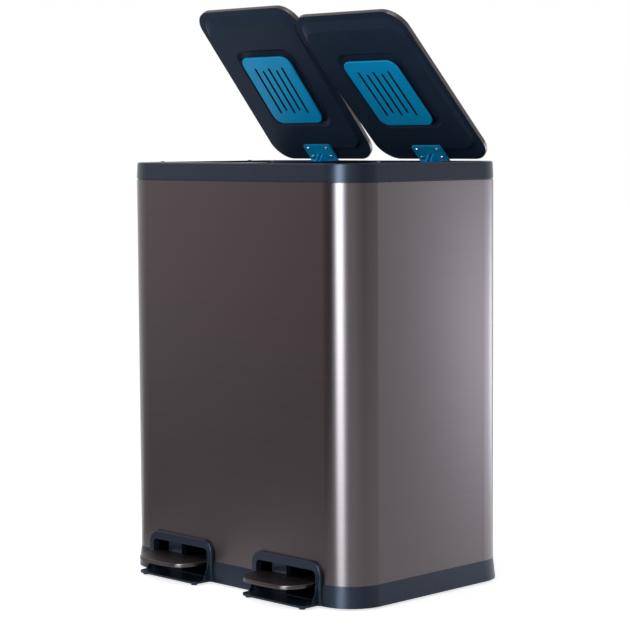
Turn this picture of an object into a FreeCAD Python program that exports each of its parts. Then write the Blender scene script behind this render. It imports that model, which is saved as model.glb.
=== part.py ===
import FreeCAD, Part
import math
import os
import Sketcher
from FreeCAD import Placement, Rotation, Vector

# A double recycling bin: one brushed steel body on a moulded base, a moulded
# rim with two openings, two inner buckets, and two lids that open on their own.
# Each lid is lifted by a pedal, a lever under the bucket and a push rod that
# runs up the back. A filter cassette sits in the underside of each lid.
#
# Frame: +Z up and the front faces -Y. Each piece is drawn about the middle of
# the steel body, and the whole is then moved back so that the origin lies on the
# floor in the middle of the footprint, with the pedals counted in. Lengths are in
# millimetres and angles in degrees.

# ---------------------------------------------------------------- dimensions
# Every driving dimension is a row of the sheet: name, value, what it is.
DIMENSIONS = [
    ("body_width", 505.0, "steel body, side to side"),
    ("body_depth", 345.0, "steel body, front to back"),
    ("body_corner", 56.0, "radius of the upright corners"),
    ("steel_wall", 0.8, "thickness of the steel sheet"),
    ("steel_bottom", 35.0, "lower edge of the steel body"),
    ("steel_top", 617.0, "upper edge of the steel body"),
    ("base_bottom", 3.0, "underside of the base moulding"),
    ("base_flare", 3.5, "how far the base band spreads at the bottom"),
    ("base_floor", 7.0, "top of the base floor"),
    ("base_wall", 3.0, "wall of the base band"),
    ("flange_top", 50.0, "top of the flange inside the steel"),
    ("notch_back", 6.0, "how deep the base is notched for each pedal surround"),
    ("pivot_post", 6.0, "thickness of each post that holds a lever pivot"),
    ("pivot_post_half", 9.0, "half the depth of that post"),
    ("pivot_post_top", 32.0, "top of that post"),
    ("column_left", 47.0, "left edge of the post behind a pedal, from the pedal centre"),
    ("column_width", 31.0, "width of that post"),
    ("column_front", 160.0, "front face of that post from the middle"),
    ("column_rear", 150.0, "rear face of that post from the middle"),
    ("seat_wall", 2.0, "wall of the damper seat"),
    ("seat_height", 9.0, "height of the damper seat"),
    ("fit_gap", 0.2, "gap between sheet steel and mouldings"),
    ("pin_gap", 0.02, "gap round a pin or barrel that stays in its seat"),
    ("rim_bottom", 620.0, "lower edge of the rim band"),
    ("rim_top", 645.0, "top face of the rim"),
    ("rim_draft", 1.0, "how far the rim band leans in at the top"),
    ("rim_edge", 3.0, "radius of the rounded top edge of the rim"),
    ("rim_wall", 3.0, "wall of the rim moulding"),
    ("skirt_bottom", 600.0, "lower edge of the rim skirt inside the steel"),
    ("tab_x", 160.0, "rear tabs under the band from the middle"),
    ("tab_y", 80.0, "side tabs under the band ahead of the middle"),
    ("tab_length", 20.0, "length of a tab that stands on the steel edge"),
    ("unit_x", 122.3, "centre of each bucket and lid from the middle"),
    ("opening_width", 214.0, "bucket opening in the rim"),
    ("opening_depth", 276.0, "bucket opening, front to back"),
    ("opening_y", -10.0, "centre of the opening"),
    ("opening_corner", 16.0, "corner radius of the opening"),
    ("ledge_top", 625.0, "ledge that the bucket hangs on"),
    ("ledge_width", 5.0, "width of that ledge"),
    ("pivot_y", 154.4, "lid hinge axis"),
    ("pivot_z", 637.0, "lid hinge axis"),
    ("lid_travel", 70.0, "angle from closed to fully open"),
    ("lid_open_left", 50.4, "left lid as shown"),
    ("lid_open_right", 45.0, "right lid as shown"),
    ("lid_width", 226.6, "lid skin"),
    ("lid_length", 305.5, "lid skin"),
    ("lid_corner", 35.5, "corner radius of the lid"),
    ("lid_thick", 7.5, "height of the turned down edge"),
    ("lid_round", 2.5, "radius of the upper edge of the lid"),
    ("lid_rear", 5.75, "rear edge of the lid ahead of the hinge axis"),
    ("lid_under", 9.0, "lower edge of the closed lid above the hinge axis"),
    ("lip_step", 0.3, "liner lip inside the steel edge"),
    ("liner_wall", 2.5, "wall of the liner moulding"),
    ("panel_width", 206.0, "raised panel of the liner"),
    ("panel_front", 300.0, "front edge of the panel from the hinge axis"),
    ("panel_rear", 30.0, "rear edge of the panel from the hinge axis"),
    ("panel_depth", 4.9, "how far the panel stands below the lip"),
    ("panel_bevel", 3.0, "sloped side of the panel"),
    ("panel_nose", 17.0, "sloped front of the panel"),
    ("panel_corner", 28.0, "corner radius of the panel"),
    ("cassette_y", 157.0, "centre of the cassette from the hinge axis"),
    ("cassette_width", 110.0, "filter grille"),
    ("cassette_length", 134.0, "filter grille"),
    ("cassette_corner", 17.0, "corner radius of the grille"),
    ("cassette_face", 5.5, "grille face below the panel"),
    ("grille_thick", 2.5, "grille plate"),
    ("grille_round", 1.2, "radius of the edge of the grille"),
    ("grille_pitch", 15.4, "spacing of the slots"),
    ("slot_long", 93.0, "first, third and fifth slot"),
    ("slot_short", 83.0, "second and fourth slot"),
    ("slot_half", 2.3, "half the width of a slot"),
    ("tray_inset", 4.0, "filter tray inside the grille edge"),
    ("tray_wall", 1.6, "wall of the filter tray"),
    ("pocket_margin", 11.5, "pocket around the cassette"),
    ("pocket_depth", 4.5, "depth of the pocket in the panel"),
    ("bracket_half", 30.0, "half the width of the hinge bracket"),
    ("bracket_front", 41.0, "front edge of the bracket from the hinge axis"),
    ("bracket_plate", 3.0, "thickness of the bracket plate"),
    ("screw_x", 21.0, "bracket screws from the middle"),
    ("screw_front", 34.9, "front screws from the hinge axis"),
    ("screw_rear", 17.5, "rear screws from the hinge axis"),
    ("hinge_pin", 2.0, "radius of the hinge pin"),
    ("knuckle", 5.0, "outer radius of the hinge knuckles"),
    ("ear_outer", 30.0, "outer face of the knuckles from the middle"),
    ("ear_inner", 9.0, "inner face of the knuckles from the middle"),
    ("screw_head", 2.8, "radius of a screw head"),
    ("screw_cap", 1.6, "height of a screw head"),
    ("screw_shank", 1.5, "radius of a screw"),
    ("screw_length", 6.5, "length of a screw below its head"),
    ("lug_half", 6.0, "half the width of the push rod lug"),
    ("fork_half", 3.2, "half the gap between the two arms of the lug"),
    ("slit_half", 2.7, "half the width of the slit through the bracket plate"),
    ("slit_front", 23.6, "front end of that slit from the hinge axis"),
    ("bay_half", 33.0, "half the width of the hinge bay in the rim"),
    ("bay_cheek", 7.5, "cheek that holds the hinge pin"),
    ("bay_rear", 164.0, "rear wall of the hinge bay"),
    ("bay_floor", 620.0, "floor of the hinge bay"),
    ("lug_arm", 14.0, "push rod ahead of the hinge axis"),
    ("rod_radius", 2.0, "push rod wire"),
    ("rod_side", 16.0, "upright of the push rod beside the middle"),
    ("rod_bend", 6.0, "bend radius of the push rod"),
    ("rod_stroke", 19.6, "travel of the push rod"),
    ("lever_y", -20.0, "pedal lever pivot"),
    ("lever_z", 25.0, "pedal lever pivot"),
    ("lever_half", 9.0, "half the width of the lever channel"),
    ("lever_wall", 2.0, "sheet of the lever channel"),
    ("lever_high", 3.5, "half the height of the lever channel"),
    ("lever_pin", 3.0, "radius of the lever pivot pin"),
    ("lever_boss", 6.5, "boss around the lever pivot"),
    ("pedal_x", 118.5, "centre of the pedals and their surrounds"),
    ("pedal_width", 119.0, "pedal plate"),
    ("pedal_front", 207.0, "front edge of the pedal from the lever pivot"),
    ("pedal_rear", 148.0, "rear edge of the pedal from the lever pivot"),
    ("pedal_bow", 250.0, "radius of the bowed front edge"),
    ("pedal_corner", 36.0, "front corner radius of the pedal"),
    ("pedal_face", 14.6, "top of the pedal above the lever pivot"),
    ("pedal_edge", 6.0, "height of the rolled edge"),
    ("pedal_round", 2.5, "radius of that edge"),
    ("pedal_sheet", 1.6, "steel of the pedal"),
    ("arch_width", 146.5, "pedal surround, outside"),
    ("arch_top", 66.5, "top of the pedal surround"),
    ("arch_corner", 19.0, "outer corner radius of the surround"),
    ("arch_proud", 5.0, "surround in front of the steel"),
    ("gate_width", 126.0, "opening for the pedal"),
    ("gate_top", 53.5, "top of that opening"),
    ("gate_corner", 7.0, "corner radius of that opening"),
    ("apron_width", 137.0, "floor plate in front of the pedal"),
    ("apron_front", 207.0, "front edge of the floor plate"),
    ("apron_top", 6.0, "top of the floor plate"),
    ("apron_corner", 12.0, "front corner radius of the floor plate"),
    ("cheek_top", 36.0, "top of the side walls of the floor plate"),
    ("cheek_knee", 24.0, "height at which those walls slope down"),
    ("cheek_foot", 189.0, "front end of those walls from the middle"),
    ("cheek_wall", 2.5, "thickness of those walls"),
    ("nub_x", 57.0, "nubs under the floor plate from the pedal centre"),
    ("nub_y", 198.0, "nubs under the floor plate ahead of the middle"),
    ("nub_radius", 5.0, "nubs under the floor plate"),
    ("rivet_front", 188.0, "front rivet of the pedal from the lever pivot"),
    ("rivet_rear", 164.0, "rear rivet of the pedal from the lever pivot"),
    ("rivet_radius", 1.9, "shank of a rivet"),
    ("rivet_head", 4.0, "head of a rivet, under the lever"),
    ("rivet_cap", 1.2, "height of that head"),
    ("bucket_top", 633.0, "upper edge of the bucket"),
    ("bucket_bottom", 58.0, "underside of the bucket"),
    ("bucket_taper", 5.0, "how far each wall leans in at the bottom"),
    ("bucket_wall", 2.2, "wall of the bucket"),
    ("bucket_heel", 1.5, "slope where the bucket wall meets its floor"),
    ("damper_y", 158.0, "soft close damper axis"),
    ("damper_radius", 8.0, "damper cylinder"),
    ("damper_bore", 6.0, "bore of the damper"),
    ("damper_top", 75.0, "top of the damper cylinder"),
    ("damper_stem", 2.5, "stem of the damper piston"),
    ("guide_bottom", 330.0, "lower edge of the rod guide"),
    ("guide_height", 30.0, "height of the rod guide"),
    ("foot_radius", 12.0, "rubber foot"),
    ("foot_x", 200.0, "rubber feet from the middle"),
    ("foot_front", 115.0, "front feet ahead of the middle"),
    ("foot_rear", 125.0, "rear feet behind the middle"),
    ("buffer_radius", 3.0, "rubber buffer under the lid"),
    ("buffer_height", 1.0, "rubber buffer under the lid"),
    ("buffer_inset", 2.5, "buffers inside the edge of the lid"),
    ("buffer_y", 95.0, "buffers from the middle of the opening"),
    ("footprint_shift", 25.6, "middle of the body behind the middle of the footprint"),
]

doc = FreeCAD.newDocument("DoubleRecyclingBin")
sheet = doc.addObject("Spreadsheet::Sheet", "Sizes")
for row, (alias, value, meaning) in enumerate(DIMENSIONS, start=1):
    sheet.set("A%d" % row, alias)
    sheet.set("B%d" % row, str(value))
    sheet.set("C%d" % row, meaning)
    sheet.setAlias("B%d" % row, alias)
doc.recompute()


class Length:
    """A length with its value and the sheet formula that drives it."""

    def __init__(self, value, formula):
        self.value = float(value)
        self.formula = formula

    def __add__(self, other):
        other = length(other)
        return Length(self.value + other.value, "(%s + %s)" % (self.formula, other.formula))

    def __sub__(self, other):
        other = length(other)
        return Length(self.value - other.value, "(%s - %s)" % (self.formula, other.formula))

    def __mul__(self, factor):
        return Length(self.value * factor, "(%s * %.9g)" % (self.formula, factor))

    def __truediv__(self, factor):
        return Length(self.value / factor, "(%s / %.9g)" % (self.formula, factor))

    def __neg__(self):
        return Length(-self.value, "(-1 * %s)" % self.formula)

    __radd__ = __add__
    __rmul__ = __mul__

    def __rsub__(self, other):
        return length(other) - self


def length(item):
    """A plain number as a Length of its own."""
    return item if isinstance(item, Length) else Length(item, "%.9g" % item)


class Sizes:
    """Reads the sheet: size.body_width is the Length of that row."""

    def __getattr__(self, alias):
        return Length(sheet.get(alias), "Sizes." + alias)


size = Sizes()
ZERO = length(0)


# ------------------------------------------------------------------- helpers
def new_body(name):
    """An empty body whose label names its file."""
    body = doc.addObject("PartDesign::Body", name)
    body.Label = name
    return body


def new_sketch(body, plane, offset=ZERO):
    """A sketch on one of the body's own origin planes, moved along its normal."""
    support = [item for item in body.Origin.OriginFeatures if item.Role == plane][0]
    sketch = body.newObject("Sketcher::SketchObject", body.Name + "_sketch")
    sketch.AttachmentSupport = [(support, "")]
    sketch.MapMode = "FlatFace"
    # The XZ plane faces -Y, so a positive y is a negative offset there.
    offset = -length(offset) if plane == "XZ_Plane" else length(offset)
    sketch.AttachmentOffset = Placement(Vector(0, 0, offset.value), Rotation())
    sketch.setExpression("AttachmentOffset.Base.z", offset.formula)
    return sketch


def bind(sketch, kind, target, amount):
    """A dimension of the sketch, driven by a formula of the sheet."""
    amount = length(amount)
    index = sketch.addConstraint(Sketcher.Constraint(kind, *target, amount.value))
    sketch.renameConstraint(index, "d%d" % index)
    sketch.setExpression("Constraints.d%d" % index, amount.formula)


def pin_point(sketch, geometry, point, x, y):
    """Ties a point of the sketch to x and y from the origin."""
    for kind, amount in (("DistanceX", length(x)), ("DistanceY", length(y))):
        if abs(amount.value) < 1e-9:
            axis = -2 if kind == "DistanceX" else -1
            sketch.addConstraint(Sketcher.Constraint("PointOnObject", geometry, point, axis))
        elif amount.value > 0:
            bind(sketch, kind, (-1, 1, geometry, point), amount)
        else:
            bind(sketch, kind, (geometry, point, -1, 1), -amount)


def add_arc(sketch, centre, radius, start, end):
    """An arc from the start angle to the end angle, in degrees."""
    circle = Part.Circle(Vector(centre[0], centre[1], 0), Vector(0, 0, 1), radius)
    arc = Part.ArcOfCircle(circle, math.radians(start), math.radians(end))
    return sketch.addGeometry(arc, False)


def add_line(sketch, start, end):
    """A line between two points of the sketch plane."""
    ends = [Vector(point[0], point[1], 0) for point in (start, end)]
    return sketch.addGeometry(Part.LineSegment(*ends), False)


def rounded_box(sketch, x, y, width, height, radius):
    """A rectangle with round corners about the point x, y."""
    x, y, width, height, radius = [length(item) for item in (x, y, width, height, radius)]
    corners = []
    for sign_x, sign_y, start in ((1, -1, 270), (1, 1, 0), (-1, 1, 90), (-1, -1, 180)):
        centre = (x + sign_x * (width / 2 - radius), y + sign_y * (height / 2 - radius))
        values = (centre[0].value, centre[1].value)
        arc = add_arc(sketch, values, radius.value, start, start + 90)
        corners.append((arc, centre, values, start))
    for index, (arc, centre, values, start) in enumerate(corners):
        following = corners[(index + 1) % 4]
        turn = math.radians(start + 90)
        offset = (radius.value * math.cos(turn), radius.value * math.sin(turn))
        tail = (values[0] + offset[0], values[1] + offset[1])
        head = (following[2][0] + offset[0], following[2][1] + offset[1])
        side = add_line(sketch, tail, head)
        sketch.addConstraint(Sketcher.Constraint("Tangent", arc, 2, side, 1))
        sketch.addConstraint(Sketcher.Constraint("Tangent", side, 2, following[0], 1))
    for arc, centre, values, start in corners:
        pin_point(sketch, arc, 3, *centre)
    bind(sketch, "Radius", (corners[0][0],), radius)
    return corners


def round_hole(sketch, x, y, radius):
    """A circle about the point x, y."""
    x, y, radius = length(x), length(y), length(radius)
    circle = Part.Circle(Vector(x.value, y.value, 0), Vector(0, 0, 1), radius.value)
    index = sketch.addGeometry(circle, False)
    pin_point(sketch, index, 3, x, y)
    bind(sketch, "Radius", (index,), radius)


def slot(sketch, first, second, radius):
    """A slot with round ends about two points."""
    first = [length(item) for item in first]
    second = [length(item) for item in second]
    radius = length(radius)
    run = math.degrees(math.atan2(second[1].value - first[1].value,
                                  second[0].value - first[0].value))
    ends = []
    for centre, start in ((first, run + 90), (second, run - 90)):
        values = (centre[0].value, centre[1].value)
        ends.append((add_arc(sketch, values, radius.value, start, start + 180), values, start))
    for (arc, values, start), (other, far, unused) in (ends, ends[::-1]):
        turn = math.radians(start + 180)
        offset = (radius.value * math.cos(turn), radius.value * math.sin(turn))
        tail = (values[0] + offset[0], values[1] + offset[1])
        head = (far[0] + offset[0], far[1] + offset[1])
        side = add_line(sketch, tail, head)
        sketch.addConstraint(Sketcher.Constraint("Tangent", arc, 2, side, 1))
        sketch.addConstraint(Sketcher.Constraint("Tangent", side, 2, other, 1))
    pin_point(sketch, ends[0][0], 3, *first)
    pin_point(sketch, ends[1][0], 3, *second)
    bind(sketch, "Radius", (ends[0][0],), radius)


def polygon(sketch, points):
    """A closed outline of straight lines through the points."""
    points = [(length(x), length(y)) for x, y in points]
    values = [(x.value, y.value) for x, y in points]
    lines = []
    for index, start in enumerate(values):
        lines.append(add_line(sketch, start, values[(index + 1) % len(values)]))
    for index, line in enumerate(lines):
        following = lines[(index + 1) % len(lines)]
        sketch.addConstraint(Sketcher.Constraint("Coincident", line, 2, following, 1))
    for line, (x, y) in zip(lines, points):
        pin_point(sketch, line, 1, x, y)


def box_outline(sketch, left, bottom, right, top):
    """A plain rectangle by its edges."""
    polygon(sketch, [(left, bottom), (right, bottom), (right, top), (left, top)])


def pad(body, sketch, height, centred=False):
    """Adds the sketch, pushed out along its normal or to both sides."""
    feature = body.newObject("PartDesign::Pad", body.Name + "_pad")
    feature.Profile = sketch
    height = length(height)
    feature.Length = abs(height.value)
    feature.setExpression("Length", (height if height.value > 0 else -height).formula)
    feature.Reversed = height.value < 0
    feature.Midplane = centred
    body.Tip = feature
    return feature


def pocket(body, sketch, depth, centred=False):
    """Cuts the sketch away; a positive depth cuts along the sketch normal."""
    doc.recompute()
    before = body.Tip.Shape.Volume
    feature = body.newObject("PartDesign::Pocket", body.Name + "_pocket")
    feature.Profile = sketch
    depth = length(depth)
    feature.Length = abs(depth.value)
    feature.setExpression("Length", (depth if depth.value > 0 else -depth).formula)
    feature.Reversed = depth.value > 0
    feature.Midplane = centred
    doc.recompute()
    if not feature.Shape.Solids or feature.Shape.Volume > before - 1e-3:
        raise RuntimeError("a cut of %s removed nothing" % body.Label)
    body.Tip = feature
    return feature


def loft(body, sections, cut=False):
    """Adds or cuts the straight walled form between two sketches."""
    kind = "PartDesign::SubtractiveLoft" if cut else "PartDesign::AdditiveLoft"
    feature = body.newObject(kind, body.Name + "_loft")
    feature.Profile = sections[0]
    feature.Sections = sections[1:]
    feature.Ruled = True
    body.Tip = feature
    return feature


def fillet(body, radius, wanted):
    """Rounds every edge of the body whose centre and shape the test accepts."""
    doc.recompute()
    base = body.Tip
    names = []
    for index, edge in enumerate(base.Shape.Edges, start=1):
        if wanted(edge):
            names.append("Edge%d" % index)
    feature = body.newObject("PartDesign::Fillet", body.Name + "_fillet")
    feature.Base = (base, names)
    radius = length(radius)
    feature.Radius = radius.value
    feature.setExpression("Radius", radius.formula)
    body.Tip = feature
    return feature


def at_height(z):
    """A test for edges that lie flat at the height z."""
    level = length(z).value

    def wanted(edge):
        box = edge.BoundBox
        return abs(box.ZMin - level) < 1e-3 and abs(box.ZMax - level) < 1e-3

    return wanted


def body_outline(sketch, inset):
    """The outline of the steel body, moved inwards by the inset."""
    inset = length(inset)
    rounded_box(sketch, ZERO, ZERO, size.body_width - inset * 2,
                size.body_depth - inset * 2, size.body_corner - inset)


def body_ring(body, bottom, top, outer, inner):
    """A wall that follows the steel body between two insets."""
    sketch = new_sketch(body, "XY_Plane", bottom)
    body_outline(sketch, outer)
    body_outline(sketch, inner)
    return pad(body, sketch, length(top) - bottom)


def place(item, base=Vector(0, 0, 0), angle=0.0):
    """Puts a sub-part at its base point, turned about the X direction."""
    item.Placement = Placement(base, Rotation(Vector(1, 0, 0), angle))


def cylinder(name, radius, height, base, direction):
    """A plain round bar from its base point along a direction."""
    item = doc.addObject("Part::Cylinder", name)
    item.setExpression("Radius", length(radius).formula)
    item.setExpression("Height", length(height).formula)
    values = [length(part).value for part in base]
    item.Placement = Placement(Vector(*values), Rotation(Vector(0, 0, 1), direction))
    for part, axis in zip(base, "xyz"):
        item.setExpression("Placement.Base." + axis, length(part).formula)
    return item


def fuse(name, items):
    """One solid out of several that touch."""
    item = doc.addObject("Part::MultiFuse", name)
    item.Shapes = items
    item.Label = name
    return item


def group(name, items):
    """Identical loose pieces that share one node."""
    item = doc.addObject("Part::Compound", name)
    item.Links = items
    item.Label = name
    return item


UP = Vector(0, 0, 1)
DOWN = Vector(0, 0, -1)
ACROSS = Vector(1, 0, 0)

# The two halves of the bin: name, side of the middle and lid angle as shown.
SIDES = (("left", -1, size.lid_open_left), ("right", 1, size.lid_open_right))

# Heights of the lid, measured from the hinge axis with the lid closed.
lip = size.lid_under + size.lip_step
panel_face = lip - size.panel_depth
bracket_face = panel_face - size.bracket_plate
grille_face = panel_face - size.cassette_face
pocket_face = panel_face + size.pocket_depth
lid_centre = -size.lid_rear - size.lid_length / 2


# ---------------------------------------------------------------------- body
def steel_shell():
    """The brushed sheet wrapped round the body, with two arches for the pedals."""
    body = new_body("steel_shell")
    body_ring(body, size.steel_bottom, size.steel_top, ZERO, size.steel_wall)
    for side in (-1, 1):
        arch = new_sketch(body, "XZ_Plane", -size.body_depth / 2 - 5)
        left = side * size.pedal_x - size.gate_width / 2 - 3
        right = side * size.pedal_x + size.gate_width / 2 + 3
        box_outline(arch, left, size.steel_bottom - 5, right, size.gate_top + 3)
        pocket(body, arch, -10.0)
    return body


def base_moulding():
    """The moulded base: band, floor, steel flange, pivot posts and damper seats."""
    body = new_body("base_moulding")
    low = new_sketch(body, "XY_Plane", size.base_bottom)
    body_outline(low, -size.base_flare)
    high = new_sketch(body, "XY_Plane", size.steel_bottom)
    body_outline(high, ZERO)
    loft(body, [low, high])
    tray = new_sketch(body, "XY_Plane", size.steel_bottom)
    body_outline(tray, size.base_wall)
    pocket(body, tray, size.base_floor - size.steel_bottom)
    gap = size.steel_wall + size.fit_gap
    body_ring(body, size.steel_bottom - 4, size.flange_top, gap, size.base_wall + 0.8)
    for side in (-1, 1):
        notch = new_sketch(body, "XY_Plane", size.base_bottom - 2)
        left = side * size.pedal_x - size.arch_width / 2
        box_outline(notch, left, -size.body_depth / 2 - 10, left + size.arch_width,
                    -size.body_depth / 2 + size.notch_back)
        pocket(body, notch, size.flange_top)
        for cheek in (-1, 1):
            post = new_sketch(body, "XY_Plane", size.base_floor - 1)
            near = side * size.unit_x + cheek * (size.lever_half + 1)
            far = near + cheek * size.pivot_post
            edges = (near, far) if cheek > 0 else (far, near)
            box_outline(post, edges[0], size.lever_y - size.pivot_post_half,
                        edges[1], size.lever_y + size.pivot_post_half)
            pad(body, post, size.pivot_post_top - size.base_floor + 1)
        column = new_sketch(body, "XY_Plane", size.base_floor - 1)
        edge = side * size.pedal_x - size.column_left
        box_outline(column, edge, -size.column_front, edge + size.column_width,
                    -size.column_rear)
        pad(body, column, size.gate_top + 4 - size.base_floor)
        seat = new_sketch(body, "XY_Plane", size.base_floor - 1)
        stand = side * size.unit_x + size.rod_side
        round_hole(seat, stand, size.damper_y, size.damper_radius + size.seat_wall)
        round_hole(seat, stand, size.damper_y, size.damper_radius + size.pin_gap)
        pad(body, seat, size.seat_height + 1)
        bore = new_sketch(body, "YZ_Plane", side * size.unit_x)
        round_hole(bore, size.lever_y, size.lever_z, size.lever_pin + size.pin_gap)
        pocket(body, bore, (size.lever_half + size.pivot_post + 5) * 2, centred=True)
    return body


def rim_frame():
    """The moulded rim: band, skirt, two collars with bucket ledges, hinge bays."""
    body = new_body("rim_frame")
    # The band leans in a little and its top edge is rounded in three steps.
    draft, edge = size.rim_draft, size.rim_edge
    levels = [(size.rim_bottom, ZERO), (size.rim_top - edge, draft)]
    for turn in (30, 60, 90):
        drop = edge * (1 - math.sin(math.radians(turn)))
        levels.append((size.rim_top - drop, draft + edge * (1 - math.cos(math.radians(turn)))))
    sections = []
    for level, inset in levels:
        sections.append(new_sketch(body, "XY_Plane", level))
        body_outline(sections[-1], inset)
    loft(body, sections)
    hollow = new_sketch(body, "XY_Plane", size.rim_bottom)
    body_outline(hollow, size.rim_wall + 0.6)
    pocket(body, hollow, size.rim_top - size.rim_wall - size.rim_bottom)
    gap = size.steel_wall + size.fit_gap
    body_ring(body, size.skirt_bottom, size.rim_bottom + 1, gap, size.rim_wall + 0.6)
    ceiling = size.rim_top - size.rim_wall
    foot = size.ledge_top - size.rim_wall
    # Four short tabs in the gap under the band stand on the edge of the steel.
    tabs = new_sketch(body, "XY_Plane", size.steel_top)
    half_tab = size.tab_length / 2
    outer_x = size.body_width / 2 - 0.1
    outer_y = size.body_depth / 2 - 0.1
    for side in (-1, 1):
        middle = side * size.tab_x
        box_outline(tabs, middle - half_tab, outer_y - size.rim_wall, middle + half_tab, outer_y)
        inner, outer = side * (outer_x - size.rim_wall), side * outer_x
        edges = (inner, outer) if side > 0 else (outer, inner)
        box_outline(tabs, edges[0], -size.tab_y - half_tab, edges[1], -size.tab_y + half_tab)
    pad(body, tabs, size.rim_bottom + 1 - size.steel_top)
    for side in (-1, 1):
        centre = side * size.unit_x
        block = new_sketch(body, "XY_Plane", foot)
        grow = size.rim_wall * 2
        rounded_box(block, centre, size.opening_y, size.opening_width + grow,
                    size.opening_depth + grow, size.opening_corner + size.rim_wall)
        pad(body, block, ceiling + 1 - foot)
        bay = new_sketch(body, "XY_Plane", size.bay_floor - 2)
        outer = size.bay_half + size.bay_cheek
        rear_edge = size.opening_y + size.opening_depth / 2
        box_outline(bay, centre - outer, rear_edge, centre + outer, size.bay_rear + 3)
        pad(body, bay, ceiling + 1 - size.bay_floor + 2)
        mouth = new_sketch(body, "XY_Plane", size.rim_top + 1)
        rounded_box(mouth, centre, size.opening_y, size.opening_width,
                    size.opening_depth, size.opening_corner)
        pocket(body, mouth, size.ledge_top - size.rim_top - 1)
        drop = new_sketch(body, "XY_Plane", size.rim_top + 1)
        shrink = size.ledge_width * 2
        rounded_box(drop, centre, size.opening_y, size.opening_width - shrink,
                    size.opening_depth - shrink, size.opening_corner - size.ledge_width)
        pocket(body, drop, foot - size.rim_top - 3)
        well = new_sketch(body, "XY_Plane", size.rim_top + 1)
        box_outline(well, centre - size.bay_half, rear_edge + 2.5,
                    centre + size.bay_half, size.bay_rear)
        pocket(body, well, size.bay_floor - size.rim_top - 1)
        gate = new_sketch(body, "XY_Plane", size.rim_top + 1)
        box_outline(gate, centre - size.bay_half, rear_edge - 1,
                    centre + size.bay_half, rear_edge + 5)
        pocket(body, gate, length(-9.5))
        pass_through = new_sketch(body, "XY_Plane", size.bay_floor + 1)
        round_hole(pass_through, centre + size.rod_side, size.pivot_y - size.lug_arm,
                   size.rod_radius + 0.6)
        pocket(body, pass_through, length(-5.0))
        bore = new_sketch(body, "YZ_Plane", centre)
        round_hole(bore, size.pivot_y, size.pivot_z, size.hinge_pin + size.pin_gap)
        pocket(body, bore, (outer + 1) * 2, centred=True)
    return body


def rubber_feet():
    """Round rubber pads pressed to the underside of the base."""
    feet = []
    for x in (-size.foot_x, size.foot_x):
        for y in (-size.foot_front, size.foot_rear):
            feet.append(cylinder("foot", size.foot_radius, size.base_bottom, (x, y, ZERO), UP))
    return group("rubber_feet", feet)


def pedal_surround(name, side):
    """The arch round a pedal, its sleeve through the steel and its floor plate."""
    body = new_body("pedal_surround_" + name)
    front = -size.body_depth / 2 - size.arch_proud
    back = -size.body_depth / 2 + size.notch_back
    middle = side * size.pedal_x
    high = size.arch_top - size.base_bottom
    arch = new_sketch(body, "XZ_Plane", front)
    half = size.arch_width / 2
    rounded_box(arch, middle, size.base_bottom + high / 2, size.arch_width, high,
                size.arch_corner)
    pad(body, arch, -(size.arch_proud - 0.1))
    foot = new_sketch(body, "XZ_Plane", front)
    box_outline(foot, middle - half, size.base_bottom, middle + half, size.base_bottom + 26)
    pad(body, foot, -(size.arch_proud + 6))
    sleeve = new_sketch(body, "XZ_Plane", front + 0.5)
    low = size.apron_top
    grown = size.gate_width + 5
    box_outline(sleeve, middle - grown / 2, size.base_bottom, middle + grown / 2,
                size.gate_top + 2.5)
    pad(body, sleeve, front + 0.5 - back)
    fillet(body, 2.0, lambda edge: abs(edge.BoundBox.YMin - front.value) < 1e-3
           and abs(edge.BoundBox.YMax - front.value) < 1e-3
           and edge.BoundBox.ZMax > size.base_bottom.value + 1)
    gate = new_sketch(body, "XZ_Plane", front - 1)
    rounded_box(gate, middle, (size.gate_top + low) / 2, size.gate_width,
                size.gate_top - low, size.gate_corner)
    pocket(body, gate, length(-40.0))
    apron = new_sketch(body, "XY_Plane", size.base_bottom)
    rounded_box(apron, middle, (back - size.apron_front) / 2, size.apron_width,
                back + size.apron_front, size.apron_corner)
    pad(body, apron, size.apron_top - size.base_bottom)
    for edge in (-1, 1):
        flank = middle + edge * (size.apron_width - size.cheek_wall) / 2
        cheek = new_sketch(body, "YZ_Plane", flank)
        polygon(cheek, [(front + 1, size.base_bottom + 1), (front + 1, size.cheek_top),
                        (front - 3, size.cheek_knee), (-size.cheek_foot, size.apron_top)])
        pad(body, cheek, size.cheek_wall, centred=True)
        nub = new_sketch(body, "XY_Plane", ZERO)
        round_hole(nub, middle + edge * size.nub_x, -size.nub_y, size.nub_radius)
        pad(body, nub, size.base_bottom + 1)
    return body


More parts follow.
